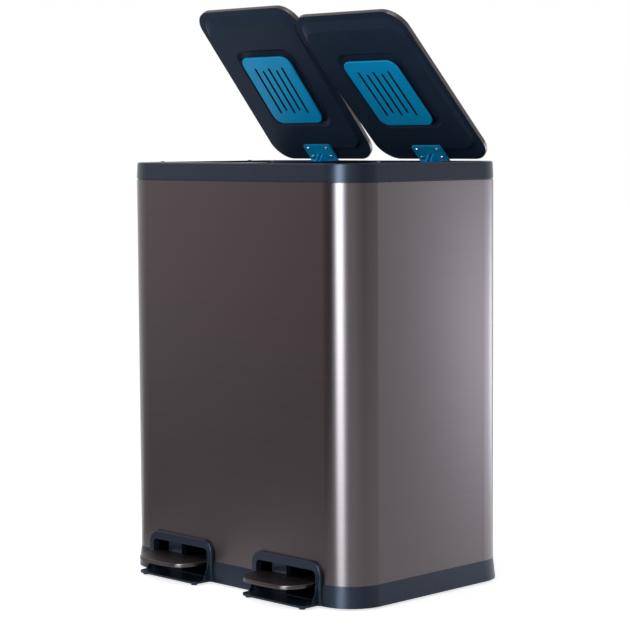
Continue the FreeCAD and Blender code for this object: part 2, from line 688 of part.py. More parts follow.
# ------------------------------------------------------------------- buckets
def inner_bucket(name, side):
    """A tapered plastic bucket that hangs on the ledge of the rim by its flange."""
    body = new_body("inner_bucket_" + name)
    centre = side * size.unit_x
    clear = size.ledge_width * 2 + 3
    width = size.opening_width - clear
    depth = size.opening_depth - clear
    corner = size.opening_corner - size.ledge_width - 1.5
    taper = size.bucket_taper

    def outline(level, inset):
        sketch = new_sketch(body, "XY_Plane", level)
        rounded_box(sketch, centre, size.opening_y, width - inset * 2,
                    depth - inset * 2, corner - inset)
        return sketch

    heel = size.bucket_heel
    loft(body, [outline(size.bucket_bottom, taper + heel),
                outline(size.bucket_bottom + heel, taper), outline(size.ledge_top, ZERO)])
    flange = new_sketch(body, "XY_Plane", size.ledge_top)
    rounded_box(flange, centre, size.opening_y, size.opening_width - 3,
                size.opening_depth - 3, size.opening_corner - 1.5)
    pad(body, flange, size.bucket_top - size.ledge_top)
    wall = size.bucket_wall
    top = new_sketch(body, "XY_Plane", size.bucket_top)
    rounded_box(top, centre, size.opening_y, size.opening_width - 7,
                size.opening_depth - 7, size.opening_corner - 3.5)
    pocket(body, top, size.ledge_top + wall - size.bucket_top)
    inside = [outline(size.bucket_bottom + wall, taper + heel + wall),
              outline(size.bucket_bottom + wall + heel, taper + wall),
              outline(size.ledge_top + wall + 0.1, wall)]
    loft(body, inside, cut=True)
    return body


# ---------------------------------------------------------------------- lids
def lid_outline(sketch, inset):
    """The outline of the lid about the hinge axis, moved inwards by the inset."""
    inset = length(inset)
    rounded_box(sketch, ZERO, lid_centre, size.lid_width - inset * 2,
                size.lid_length - inset * 2, size.lid_corner - inset)


def panel_outline(sketch, side_inset, nose_inset):
    """The raised panel of the liner, moved in at the sides and at the nose."""
    rear = -size.panel_rear - side_inset
    front = -size.panel_front + nose_inset
    rounded_box(sketch, ZERO, (rear + front) / 2, size.panel_width - length(side_inset) * 2,
                rear - front, size.panel_corner - length(side_inset) / 2)


def pocket_outline(sketch, margin):
    """The outline of the cassette pocket, with a margin round the grille."""
    margin = length(margin)
    rounded_box(sketch, ZERO, -size.cassette_y, size.cassette_width + margin * 2,
                size.cassette_length + margin * 2, size.cassette_corner + margin / 2)


def lid_cover(name):
    """The steel skin of a lid, with its edge turned down all round."""
    body = new_body("lid_cover_" + name)
    skin = new_sketch(body, "XY_Plane", size.lid_under)
    lid_outline(skin, ZERO)
    pad(body, skin, size.lid_thick)
    fillet(body, size.lid_round, at_height(size.lid_under + size.lid_thick))
    hollow = new_sketch(body, "XY_Plane", size.lid_under)
    lid_outline(hollow, size.steel_wall)
    pocket(body, hollow, size.lid_thick - size.steel_wall)
    return body


def lid_liner(name):
    """The moulded underside of a lid: lip, raised panel, pocket, bracket seat."""
    body = new_body("lid_liner_" + name)
    wall = size.liner_wall
    gap = size.steel_wall + size.fit_gap
    plate = new_sketch(body, "XY_Plane", lip)
    lid_outline(plate, gap)
    pad(body, plate, wall)
    rib = new_sketch(body, "XY_Plane", lip + wall - 0.1)
    lid_outline(rib, gap + 2)
    lid_outline(rib, gap + 4)
    ceiling = size.lid_under + size.lid_thick - size.steel_wall
    pad(body, rib, ceiling - lip - wall + 0.1)
    top = new_sketch(body, "XY_Plane", lip + 0.1)
    panel_outline(top, ZERO, ZERO)
    bottom = new_sketch(body, "XY_Plane", panel_face)
    panel_outline(bottom, size.panel_bevel, size.panel_nose)
    loft(body, [top, bottom])
    seat = new_sketch(body, "XY_Plane", panel_face)
    box_outline(seat, -size.bracket_half - 1, -size.bracket_front + 2,
                size.bracket_half + 1, -size.lid_rear - 5)
    pad(body, seat, size.panel_depth + 1)
    hollow_top = new_sketch(body, "XY_Plane", lip + wall + 0.1)
    panel_outline(hollow_top, size.panel_bevel, size.panel_bevel)
    hollow_bottom = new_sketch(body, "XY_Plane", panel_face + wall)
    panel_outline(hollow_bottom, size.panel_bevel + 6, size.panel_nose + 4)
    loft(body, [hollow_top, hollow_bottom], cut=True)
    outer = new_sketch(body, "XY_Plane", panel_face + wall - 0.1)
    pocket_outline(outer, size.pocket_margin + wall)
    inner = new_sketch(body, "XY_Plane", pocket_face + wall)
    pocket_outline(inner, size.pocket_margin - 6 + wall)
    loft(body, [outer, inner])
    mouth = new_sketch(body, "XY_Plane", panel_face - 0.1)
    pocket_outline(mouth, size.pocket_margin)
    floor = new_sketch(body, "XY_Plane", pocket_face)
    pocket_outline(floor, size.pocket_margin - 6)
    loft(body, [mouth, floor], cut=True)
    fence = new_sketch(body, "XY_Plane", pocket_face + 0.1)
    pocket_outline(fence, -size.tray_inset + 2.1)
    pocket_outline(fence, -size.tray_inset + 0.5)
    pad(body, fence, length(-2.6))
    holes = new_sketch(body, "XY_Plane", panel_face - 1)
    for x in (-size.screw_x, size.screw_x):
        for y in (-size.screw_front, -size.screw_rear):
            round_hole(holes, x, y, size.screw_shank + 0.1)
    pocket(body, holes, 5.0)
    return body


def hinge_bracket(name):
    """The moulded bracket: screw plate, two long knuckles and the push rod lug."""
    body = new_body("hinge_bracket_" + name)
    plate = new_sketch(body, "XY_Plane", bracket_face)
    rear = length(-9.0)
    high = size.bracket_front + rear
    rounded_box(plate, ZERO, -size.bracket_front + high / 2, size.bracket_half * 2, high, 3.0)
    pad(body, plate, size.bracket_plate)
    for side in (-1, 1):
        middle = side * (size.ear_inner + size.ear_outer) / 2
        wide = size.ear_outer - size.ear_inner
        arm = new_sketch(body, "YZ_Plane", middle)
        polygon(arm, [(length(-12.0), panel_face), (length(-12.0), bracket_face),
                      (length(-2.0), length(-4.5)), (length(0.5), panel_face)])
        pad(body, arm, wide, centred=True)
        knuckle = new_sketch(body, "YZ_Plane", middle)
        round_hole(knuckle, ZERO, ZERO, size.knuckle)
        pad(body, knuckle, wide, centred=True)
    half_travel = math.radians(size.lid_travel.value / 2)
    reach = size.lug_arm.value / math.cos(half_travel)
    near = (-size.lug_arm * math.cos(half_travel), -size.lug_arm * math.sin(half_travel))
    far = (-size.lug_arm, -size.lug_arm * math.tan(half_travel))
    lug = new_sketch(body, "YZ_Plane", ZERO)
    slot(lug, near, far, 5.5)
    pad(body, lug, size.lug_half * 2, centred=True)
    web = new_sketch(body, "YZ_Plane", ZERO)
    polygon(web, [(length(-24.0), panel_face - 1), (far[0] - 5.0, far[1] - 1),
                  (near[0] + 4.5, near[1] + 2.0), (length(-9.5), panel_face - 1)])
    pad(body, web, size.lug_half * 2, centred=True)
    fork = new_sketch(body, "YZ_Plane", ZERO)
    box_outline(fork, length(-reach - 12.0), length(-20.0), length(-4.0), bracket_face - 1)
    pocket(body, fork, size.fork_half * 2, centred=True)
    slit = new_sketch(body, "YZ_Plane", ZERO)
    box_outline(slit, -size.slit_front, bracket_face - 2, length(-6.0), panel_face + 1)
    pocket(body, slit, size.slit_half * 2, centred=True)
    eye = new_sketch(body, "YZ_Plane", ZERO)
    slot(eye, near, far, size.rod_radius + 0.9)
    pocket(body, eye, length(20.0), centred=True)
    pivot = new_sketch(body, "YZ_Plane", ZERO)
    round_hole(pivot, ZERO, ZERO, size.hinge_pin + 0.05)
    pocket(body, pivot, size.ear_outer * 2 + 4, centred=True)
    holes = new_sketch(body, "XY_Plane", bracket_face - 1)
    for x in (-size.screw_x, size.screw_x):
        for y in (-size.screw_front, -size.screw_rear):
            round_hole(holes, x, y, size.screw_shank + 0.3)
    pocket(body, holes, size.bracket_plate + 2)
    return body


def bracket_screws(name):
    """Four pan head screws that hold the bracket to the liner."""
    screws = []
    for x in (-size.screw_x, size.screw_x):
        for y in (-size.screw_front, -size.screw_rear):
            spot = (x, y, bracket_face)
            head = cylinder("head", size.screw_head, size.screw_cap, spot, DOWN)
            shank = cylinder("shank", size.screw_shank, size.screw_length, spot, UP)
            screws.append(fuse("screw", [head, shank]))
    return group("bracket_screws_" + name, screws)


def filter_grille(name):
    """The slotted face plate of the cassette."""
    body = new_body("filter_grille_" + name)
    plate = new_sketch(body, "XY_Plane", grille_face)
    pocket_outline(plate, ZERO)
    pad(body, plate, size.grille_thick)
    fillet(body, size.grille_round, at_height(grille_face))
    slots = new_sketch(body, "XY_Plane", grille_face)
    for step in range(-2, 3):
        long_one = step % 2 == 0
        reach = (size.slot_long if long_one else size.slot_short) / 2 - size.slot_half
        x = size.grille_pitch * step
        slot(slots, (x, -size.cassette_y - reach), (x, -size.cassette_y + reach),
             size.slot_half)
    pocket(body, slots, size.grille_thick)
    return body


def filter_tray(name):
    """The dark tray behind the grille, with vents over the filter pad."""
    body = new_body("filter_tray_" + name)
    low = grille_face + size.grille_thick
    high = pocket_face
    box = new_sketch(body, "XY_Plane", low)
    pocket_outline(box, -size.tray_inset)
    pad(body, box, high - low)
    hollow = new_sketch(body, "XY_Plane", low)
    pocket_outline(hollow, -size.tray_inset - size.tray_wall)
    pocket(body, hollow, high - low - size.tray_wall)
    vents = new_sketch(body, "XY_Plane", high + 1)
    for step in (-1, 0, 1):
        x = size.grille_pitch * step * 2
        slot(vents, (x, -size.cassette_y - 35), (x, -size.cassette_y + 35), 4.0)
    pocket(body, vents, -(size.tray_wall + 2))
    return body


def filter_pad(name):
    """The carbon filter pad inside the tray."""
    body = new_body("filter_pad_" + name)
    low = grille_face + size.grille_thick
    sketch = new_sketch(body, "XY_Plane", low)
    pocket_outline(sketch, -size.tray_inset - size.tray_wall - 0.4)
    pad(body, sketch, pocket_face - size.tray_wall - low)
    return body


def lid_buffers(name, side):
    """Small rubber buffers on the rim that the closed lid settles on."""
    buffers = []
    for x in (-1, 1):
        for y in (-1, 1):
            spot = (side * size.unit_x + x * (size.lid_width / 2 - size.buffer_inset),
                    size.opening_y + y * size.buffer_y, size.rim_top)
            buffers.append(cylinder("buffer", size.buffer_radius, size.buffer_height, spot, UP))
    return group("lid_buffers_" + name, buffers)


def hinge_pin(name, side):
    """The steel pin through the bracket knuckles and the cheeks of the hinge bay."""
    reach = size.bay_half + size.bay_cheek
    base = (side * size.unit_x - reach, size.pivot_y, size.pivot_z)
    pin = cylinder("hinge_wire", size.hinge_pin, reach * 2, base, ACROSS)
    return group("hinge_pin_" + name, [pin])


# -------------------------------------------------------------------- pedals
def pedal_outline(body, level, inset, rear):
    """Straight sides, round front corners and a gently bowed front edge."""
    sketch = new_sketch(body, "XY_Plane", level)
    half = size.pedal_width / 2 - inset
    corner = size.pedal_corner - inset
    bow = size.pedal_bow - inset
    bow_y = size.pedal_bow - size.pedal_front
    reach = half.value - corner.value
    drop = math.sqrt((bow.value - corner.value) ** 2 - reach ** 2)
    corner_y = bow_y.value - drop
    touch = math.degrees(math.atan2(-drop, reach))
    right = add_line(sketch, (half.value, rear.value), (half.value, corner_y))
    near = add_arc(sketch, (reach, corner_y), corner.value, touch, 0.0)
    front = add_arc(sketch, (0.0, bow_y.value), bow.value, -180.0 - touch, touch)
    far = add_arc(sketch, (-reach, corner_y), corner.value, 180.0, 180.0 - touch)
    left = add_line(sketch, (-half.value, corner_y), (-half.value, rear.value))
    back = add_line(sketch, (-half.value, rear.value), (half.value, rear.value))
    for joined in ((right, 2, near, 2), (near, 1, front, 2), (front, 1, far, 2),
                   (far, 1, left, 1)):
        sketch.addConstraint(Sketcher.Constraint("Tangent", *joined))
    sketch.addConstraint(Sketcher.Constraint("Coincident", left, 2, back, 1))
    sketch.addConstraint(Sketcher.Constraint("Coincident", back, 2, right, 1))
    sketch.addConstraint(Sketcher.Constraint("Vertical", right))
    sketch.addConstraint(Sketcher.Constraint("Equal", near, far))
    pin_point(sketch, right, 1, half, rear)
    pin_point(sketch, left, 2, -half, rear)
    pin_point(sketch, front, 3, ZERO, bow_y)
    bind(sketch, "Radius", (front,), bow)
    bind(sketch, "Radius", (near,), corner)
    return sketch


def pedal_plate(name, side):
    """The pressed steel pedal with its edge rolled down at the front and sides."""
    body = new_body("pedal_plate_" + name)
    top = size.pedal_face
    low = top - size.pedal_edge
    pad(body, pedal_outline(body, low, ZERO, -size.pedal_rear), size.pedal_edge)
    rear = -size.pedal_rear.value

    def front_and_sides(edge):
        return at_height(top)(edge) and edge.BoundBox.YMin < rear - 1

    fillet(body, size.pedal_round, front_and_sides)
    inside = pedal_outline(body, low, size.pedal_sheet, -size.pedal_rear + 1)
    pocket(body, inside, size.pedal_edge - size.pedal_sheet)
    rivets = new_sketch(body, "XY_Plane", top + 1)
    for y in (-size.rivet_front, -size.rivet_rear):
        round_hole(rivets, side * (size.unit_x - size.pedal_x), y, size.rivet_radius + 0.1)
    pocket(body, rivets, length(-4.0))
    return body


def pedal_lever(name):
    """The steel channel from the pedal, over its pivot, back to the push rod."""
    body = new_body("pedal_lever_" + name)
    high = size.lever_high
    roof = size.pedal_face - size.pedal_sheet
    tip = -size.pedal_front + 8
    tail = size.pivot_y - size.lug_arm - size.lever_y
    step_front = -size.pedal_rear - 4
    step_rear = step_front + 24

    def side_view(drop, trim, below):
        sketch = new_sketch(body, "YZ_Plane", ZERO)
        polygon(sketch, [(tip + trim, roof - drop), (tip + trim, roof - 5 - below),
                         (step_front, roof - 5 - below), (step_rear - 4, -high - below),
                         (tail + 6 - trim, -high - below), (tail + 6 - trim, high - drop),
                         (step_rear, high - drop), (step_front + 4, roof - drop)])
        return sketch

    pad(body, side_view(ZERO, ZERO, ZERO), size.lever_half * 2, centred=True)
    wall = size.lever_wall
    pocket(body, side_view(wall, wall, length(3.0)), (size.lever_half - wall) * 2, centred=True)
    boss = new_sketch(body, "YZ_Plane", ZERO)
    round_hole(boss, ZERO, ZERO, size.lever_boss)
    pad(body, boss, size.lever_half * 2, centred=True)
    bore = new_sketch(body, "YZ_Plane", ZERO)
    round_hole(bore, ZERO, ZERO, size.lever_pin + 0.05)
    pocket(body, bore, length(60.0), centred=True)
    hook = new_sketch(body, "YZ_Plane", ZERO)
    slot(hook, (tail - 0.6, ZERO), (tail + 0.6, ZERO), size.rod_radius + 0.2)
    pocket(body, hook, length(60.0), centred=True)
    rivets = new_sketch(body, "XY_Plane", roof + 1)
    for y in (-size.rivet_front, -size.rivet_rear):
        round_hole(rivets, ZERO, y, size.rivet_radius + 0.1)
    pocket(body, rivets, length(-5.0))
    return body


def pedal_rivets(name):
    """Two rivets, flush with the pedal, with their heads under the lever's roof."""
    rivets = []
    grip = size.pedal_sheet + size.lever_wall
    for y in (-size.rivet_front, -size.rivet_rear):
        shank = cylinder("rivet_shank", size.rivet_radius, grip, (ZERO, y, size.pedal_face), DOWN)
        under = (ZERO, y, size.pedal_face - grip)
        head = cylinder("rivet_head", size.rivet_head, size.rivet_cap, under, DOWN)
        rivets.append(fuse("rivet", [head, shank]))
    return group("pedal_rivets_" + name, rivets)


def pivot_pin(name, side):
    """The steel pin that the lever rocks on, held by two posts of the base."""
    reach = size.lever_half + size.pivot_post + 1
    base = (side * size.unit_x - reach, size.lever_y, size.lever_z)
    pin = cylinder("pivot_wire", size.lever_pin, reach * 2, base, ACROSS)
    return group("pivot_pin_" + name, [pin])


# -------------------------------------------------------------- lifting gear
def push_rod(name):
    """A wire with a hook at each end, from the lever tail up to the bracket lug."""
    body = new_body("push_rod_" + name)
    foot = size.lever_z - size.rod_stroke / 2
    head = size.pivot_z - size.rod_stroke / 2
    path = new_sketch(body, "XZ_Plane", size.pivot_y - size.lug_arm)
    side, bend = size.rod_side, size.rod_bend
    low_end = (-size.lever_half - 2, foot)
    top_end = (length(-8.0), head)
    values = [side.value, bend.value, foot.value, head.value]
    low = add_line(path, (low_end[0].value, values[2]), (values[0] - values[1], values[2]))
    low_bend = add_arc(path, (values[0] - values[1], values[2] + values[1]), values[1], -90, 0)
    mast = add_line(path, (values[0], values[2] + values[1]), (values[0], values[3] - values[1]))
    top_bend = add_arc(path, (values[0] - values[1], values[3] - values[1]), values[1], 0, 90)
    top = add_line(path, (values[0] - values[1], values[3]), (top_end[0].value, values[3]))
    for joined in ((low, 2, low_bend, 1), (low_bend, 2, mast, 1), (mast, 2, top_bend, 1),
                   (top_bend, 2, top, 1)):
        path.addConstraint(Sketcher.Constraint("Tangent", *joined))
    pin_point(path, low, 1, *low_end)
    pin_point(path, low_bend, 3, side - bend, foot + bend)
    pin_point(path, top_bend, 3, side - bend, head - bend)
    pin_point(path, top, 2, *top_end)
    profile = new_sketch(body, "YZ_Plane", low_end[0])
    round_hole(profile, size.pivot_y - size.lug_arm, foot, size.rod_radius)
    doc.recompute()
    wire = body.newObject("PartDesign::AdditivePipe", body.Name + "_wire")
    wire.Profile = profile
    wire.Spine = (path, ["Edge%d" % number for number in range(1, 6)])
    body.Tip = wire
    return body


def rod_guide(name, side):
    """A plastic guide on the back of the shell that keeps the rod upright."""
    body = new_body("rod_guide_" + name)
    centre = side * size.unit_x + size.rod_side
    front = size.pivot_y - size.lug_arm - 6
    back = size.body_depth / 2 - size.steel_wall
    block = new_sketch(body, "XY_Plane", size.guide_bottom)
    polygon(block, [(centre - 6, front), (centre + 6, front), (centre + 6, back - 3),
                    (centre + 16, back - 3), (centre + 16, back), (centre - 16, back),
                    (centre - 16, back - 3), (centre - 6, back - 3)])
    pad(body, block, size.guide_height)
    bore = new_sketch(body, "XY_Plane", size.guide_bottom - 1)
    round_hole(bore, centre, size.pivot_y - size.lug_arm, size.rod_radius + 0.06)
    pocket(body, bore, size.guide_height + 2)
    return body


def damper_cylinder(name, side):
    """The barrel of the soft close damper, standing in its seat on the base."""
    body = new_body("damper_cylinder_" + name)
    centre = side * size.unit_x + size.rod_side
    barrel = new_sketch(body, "XY_Plane", size.base_floor)
    round_hole(barrel, centre, size.damper_y, size.damper_radius)
    pad(body, barrel, size.damper_top - size.base_floor)
    bore = new_sketch(body, "XY_Plane", size.base_floor + 3)
    round_hole(bore, centre, size.damper_y, size.damper_bore)
    pocket(body, bore, size.damper_top - size.base_floor - 6)
    neck = new_sketch(body, "XY_Plane", size.damper_top + 1)
    round_hole(neck, centre, size.damper_y, size.damper_stem + 0.06)
    pocket(body, neck, length(-8.0))
    return body


def damper_piston(name):
    """Piston, stem and the clamp that ties the stem to the push rod."""
    body = new_body("damper_piston_" + name)
    head = new_sketch(body, "XY_Plane", size.base_floor + 6)
    round_hole(head, size.rod_side, size.damper_y, size.damper_bore - 0.06)
    pad(body, head, 6.0)
    stem = new_sketch(body, "XY_Plane", size.base_floor + 11)
    round_hole(stem, size.rod_side, size.damper_y, size.damper_stem)
    pad(body, stem, size.damper_top + 8 - size.base_floor)
    clamp = new_sketch(body, "XY_Plane", size.damper_top + 14)
    rounded_box(clamp, size.rod_side, (size.damper_y + size.pivot_y - size.lug_arm) / 2,
                10.0, size.damper_y - size.pivot_y + size.lug_arm + 10, 4.5)
    pad(body, clamp, 9.0)
    grip = new_sketch(body, "XY_Plane", size.damper_top + 13)
    round_hole(grip, size.rod_side, size.pivot_y - size.lug_arm,
               size.rod_radius + size.pin_gap)
    pocket(body, grip, 12.0)
    return body


# ------------------------------------------------------------------ assembly
def at_pose(name, side, opened):
    """Makes one half of the bin, its lid opened by the given angle."""
    centre = side * size.unit_x.value
    share = opened.value / size.lid_travel.value
    tail = (size.pivot_y - size.lug_arm - size.lever_y).value
    swing = math.degrees(math.asin(size.rod_stroke.value / 2 / tail))
    hinge = Vector(centre, size.pivot_y.value, size.pivot_z.value)
    pivot = Vector(centre, size.lever_y.value, size.lever_z.value)
    lift = Vector(centre, 0, size.rod_stroke.value * share)
    fixed = [pedal_surround(name, side), inner_bucket(name, side), lid_buffers(name, side),
             hinge_pin(name, side), pivot_pin(name, side), rod_guide(name, side),
             damper_cylinder(name, side)]
    on_lid = [lid_cover(name), lid_liner(name), hinge_bracket(name), bracket_screws(name),
              filter_grille(name), filter_tray(name), filter_pad(name)]
    on_rod = [push_rod(name), damper_piston(name)]
    on_lever = [pedal_plate(name, side), pedal_lever(name), pedal_rivets(name)]
    for item in on_lid:
        place(item, hinge, -opened.value)
    for item in on_rod:
        place(item, lift)
    pedal_shift = Vector(side * (size.pedal_x - size.unit_x).value, 0, 0)
    for item in on_lever:
        place(item, pivot, swing * (2 * share - 1))
    place(on_lever[0], pivot + pedal_shift, swing * (2 * share - 1))
    return fixed + on_lid + on_rod + on_lever


def check(items):
    """Stops if a feature failed, or a sub-part has no sound solid."""
    doc.recompute()
    for item in doc.Objects:
        if "Invalid" in item.State or "Error" in item.State:
            raise RuntimeError("%s is in state %s" % (item.Name, item.State))
    for item in items:
        if item.Shape.isNull() or not item.Shape.isValid() or not item.Shape.Solids:
            raise RuntimeError("%s has no valid solid" % item.Label)
        if item.TypeId == "PartDesign::Body" and len(item.Shape.Solids) != 1:
            raise RuntimeError("%s fell into %d solids" % (item.Label, len(item.Shape.Solids)))


parts = [steel_shell(), base_moulding(), rim_frame(), rubber_feet()]
for name, side, opened in SIDES:
    parts += at_pose(name, side, opened)
for item in parts:
    item.Placement.Base = item.Placement.Base + Vector(0, size.footprint_shift.value, 0)
check(parts)
os.makedirs("parts", exist_ok=True)
for item in parts:
    item.Shape.exportStep(os.path.join("parts", item.Label + ".step"))
print("%d sub-parts written" % len(parts))
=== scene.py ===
# %% [markdown]
# A twin pedal bin: one brushed steel body, a moulded rim and base, two lids that
# stand open and two steel pedals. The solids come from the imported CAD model, already
# in place and in metres. This lesson gives them their finishes, eases their edges,
# makes the small turned and soft pieces, and sets up the studio and the camera.

# %% The frame
import math

import bmesh
import bpy
from mathutils import Matrix, Vector


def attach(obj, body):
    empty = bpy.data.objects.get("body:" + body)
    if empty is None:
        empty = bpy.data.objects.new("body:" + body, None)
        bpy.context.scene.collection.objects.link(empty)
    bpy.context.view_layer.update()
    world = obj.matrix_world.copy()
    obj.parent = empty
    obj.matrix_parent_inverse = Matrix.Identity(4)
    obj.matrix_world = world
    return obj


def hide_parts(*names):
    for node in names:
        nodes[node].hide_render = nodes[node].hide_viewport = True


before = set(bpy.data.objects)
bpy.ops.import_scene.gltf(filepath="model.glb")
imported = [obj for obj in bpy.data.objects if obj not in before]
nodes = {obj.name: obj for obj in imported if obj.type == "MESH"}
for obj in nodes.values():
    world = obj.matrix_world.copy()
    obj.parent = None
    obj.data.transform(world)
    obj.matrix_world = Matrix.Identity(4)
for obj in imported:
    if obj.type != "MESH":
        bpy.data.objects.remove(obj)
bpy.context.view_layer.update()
SIDES = ("left", "right")
MM = 0.001

# %% [markdown]
# Colours are written as the hex values that a screen shows, and the shader wants
# linear light, so one function turns them. A second one adds a shader or geometry
# node with its settings and links, which keeps every tree below short to read. Where
# the node is a colour ramp, it takes the ramp's two stops as well.


# %% Two helpers for trees
def linear(hex_colour):
    """The linear RGBA value of an sRGB colour such as #5D5558."""
    values = [int(hex_colour[start:start + 2], 16) / 255 for start in (1, 3, 5)]
    bent = [v / 12.92 if v <= 0.04045 else ((v + 0.055) / 1.055) ** 2.4 for v in values]
    return (*bent, 1.0)


def add_node(tree, kind, inputs=None, stops=(), **settings):
    """Adds a node; an input takes a value, or the socket that feeds it."""
    made = tree.nodes.new(kind)
    for element, (position, tone) in zip(made.color_ramp.elements if stops else (), stops):
        element.position, element.color = position, linear(tone)
    for name, value in settings.items():
        setattr(made, name, value)
    for name, value in (inputs or {}).items():
        if isinstance(value, bpy.types.NodeSocket):
            tree.links.new(value, made.inputs[name])
        else:
            made.inputs[name].default_value = value
    return made


print("teal in linear light", [round(value, 3) for value in linear("#05ABE8")])

# %% [markdown]
# Every finish starts from the same few nodes: the Principled shader and the piece's
# own coordinates in metres. Object coordinates need no unwrapping and stay on the
# piece when it moves. One Mapping node turns them, for a grain that follows a tilted
# lid, and a second one stretches them, for a grain that is longer than it is wide.


# %% The start of a finish
def new_finish(name, turn=(0.0, 0.0, 0.0), scale=(1.0, 1.0, 1.0), **sockets):
    """A material with its shader's own sockets set, and coordinates in metres."""
    finish = bpy.data.materials.new(name)
    finish.use_nodes = True
    tree = finish.node_tree
    tree.nodes.clear()
    shader = add_node(tree, "ShaderNodeBsdfPrincipled")
    for socket, value in sockets.items():
        shader.inputs[socket.replace("_", " ")].default_value = value
    add_node(tree, "ShaderNodeOutputMaterial", {"Surface": shader.outputs[0]})
    place = add_node(tree, "ShaderNodeTexCoord").outputs["Object"]
    turned = add_node(tree, "ShaderNodeMapping", {"Vector": place, "Rotation": turn})
    scaled = add_node(tree, "ShaderNodeMapping", {"Vector": turned.outputs[0], "Scale": scale})
    return finish, tree, shader, scaled.outputs[0]


# %% [markdown]
# Brushed stainless steel with a warm grey tint: the sheet is ground with a belt, so
# it is covered in fine scratches that all run one way. They blur a reflection across
# the grain and keep it crisp along it, which is why a lamp draws one tall stripe on a
# rounded corner. Anisotropic on the shader does that blur. The scratches themselves
# are about 0.1 mm wide, too fine to show here, so they are drawn 1 mm wide and faint.
# The pedals are the same steel, pressed and rubbed smoother, so they mirror more. Their colour is
# also drawn darker than the body's, as painted shade for the dark surroundings their tops mirror.
# Round the upright body the grain runs level by itself; on flat pieces it is given.


# %% Brushed steel
GRAIN = 1.1 * MM
GRAIN_LENGTH = 260 * MM


def brushed_steel(name, turn=0.0, flat=True, light="#5A5456", dark="#555052", polish=0.31):
    """Steel with its grain along X, or round the upright body; turn tilts it with a lid."""
    finish, tree, shader, place = new_finish(
        name, (turn, 0.0, 0.0), (GRAIN / GRAIN_LENGTH, GRAIN / GRAIN_LENGTH, 1.0),
        Metallic=1.0, Anisotropic=0.9, Anisotropic_Rotation=0.25)
    scratches = add_node(tree, "ShaderNodeTexNoise", {
        "Vector": place, "Scale": 1 / GRAIN, "Detail": 3.0, "Roughness": 0.65}).outputs["Fac"]
    shade = add_node(tree, "ShaderNodeValToRGB", {"Fac": scratches},
                     stops=[(0.3, dark), (0.7, light)])
    tree.links.new(shade.outputs[0], shader.inputs["Base Color"])
    rough = add_node(tree, "ShaderNodeMapRange", {
        "Value": scratches, "From Min": 0.3, "From Max": 0.7,
        "To Min": polish - 0.02, "To Max": polish + 0.02})
    tree.links.new(rough.outputs[0], shader.inputs["Roughness"])
    relief = add_node(tree, "ShaderNodeBump", {
        "Height": scratches, "Distance": 0.01 * MM, "Strength": 0.15})
    tree.links.new(relief.outputs[0], shader.inputs["Normal"])
    if flat:
        # Left alone, the blur would circle the middle, as on a turned disc.
        along = add_node(tree, "ShaderNodeVectorTransform", {"Vector": (1.0, 0.0, 0.0)},
                         vector_type="VECTOR", convert_from="OBJECT", convert_to="WORLD")
        tree.links.new(along.outputs[0], shader.inputs["Tangent"])
    return finish


# The lid's grain runs across it, so the pattern turns with the open lid.
OPEN = {"left": math.radians(50.4), "right": math.radians(45.0)}
STEEL = brushed_steel("brushed_stainless_steel", flat=False)
# Painted shade: the pedal steel is the body's steel with a darker colour, for the dark
# surroundings its tops mirror.
SHADED_PEDAL_STEEL = brushed_steel("pressed_pedal_steel_painted_darker", light="#4C4648", dark="#474143", polish=0.28)
LID_STEEL = {side: brushed_steel("brushed_steel_lid_" + side, OPEN[side] + math.pi / 2)
             for side in SIDES}
print("steel grain", GRAIN, "m wide")

# %% [markdown]
# The rim, base and pedal surrounds are injection moulded ABS in slate blue-grey. The
# mould is spark eroded, which leaves a fine even texture: soft highlights and no clear
# reflection. The lid liners, the buckets and the rubber start from the same recipe
# with other numbers: faint mottling for colour and a fine bump for the mould's skin.
# The real texture is about 0.1 mm, so the bumps are drawn at 0.6 to 1 mm, and shallow.


# %% Moulded plastics
def moulded(name, light, dark, grit, depth, **sockets):
    """Moulded plastic: faint mottling, and a fine texture from the mould."""
    finish, tree, shader, place = new_finish(name, **sockets)
    mottle = add_node(tree, "ShaderNodeTexNoise", {
        "Vector": place, "Scale": 1 / (45 * MM), "Detail": 3.0}).outputs["Fac"]
    shade = add_node(tree, "ShaderNodeValToRGB", {"Fac": mottle},
                     stops=[(0.3, dark), (0.7, light)])
    tree.links.new(shade.outputs[0], shader.inputs["Base Color"])
    fine = add_node(tree, "ShaderNodeTexNoise", {
        "Vector": place, "Scale": 1 / grit, "Detail": 2.0, "Roughness": 0.6}).outputs["Fac"]
    base = shader.inputs["Roughness"].default_value
    rough = add_node(tree, "ShaderNodeMapRange", {
        "Value": fine, "From Min": 0.3, "From Max": 0.7,
        "To Min": base - 0.04, "To Max": base + 0.04})
    tree.links.new(rough.outputs[0], shader.inputs["Roughness"])
    relief = add_node(tree, "ShaderNodeBump", {"Height": fine, "Distance": depth, "Strength": 0.6})
    tree.links.new(relief.outputs[0], shader.inputs["Normal"])
    return finish


RIM = moulded("slate_abs_spark_texture", "#222B37", "#1F2833", 0.6 * MM, 0.015 * MM,
              Roughness=0.26, Specular_IOR_Level=0.25, Specular_Tint=linear("#D6E4FF"))
LINER = moulded("dark_polypropylene_satin", "#263345", "#233040", 0.8 * MM, 0.02 * MM,
                Roughness=0.42, Specular_IOR_Level=0.04)
TEAL = moulded("teal_polypropylene", "#05ABE8", "#04A2DC", 0.8 * MM, 0.01 * MM,
               Roughness=0.4, Specular_IOR_Level=0.12)
BUCKET = moulded("black_polypropylene", "#24272B", "#1E2024", 1.0 * MM, 0.04 * MM,
                 Roughness=0.5, Specular_IOR_Level=0.4)
RUBBER = moulded("black_rubber", "#141414", "#0E0E0E", 0.7 * MM, 0.05 * MM,
                 Roughness=0.75, Specular_IOR_Level=0.3)
COAT = moulded("black_powder_coat", "#1B1B1D", "#151517", 1.2 * MM, 0.06 * MM, Roughness=0.45)
print("moulded finishes", RIM.name, LINER.name, TEAL.name)

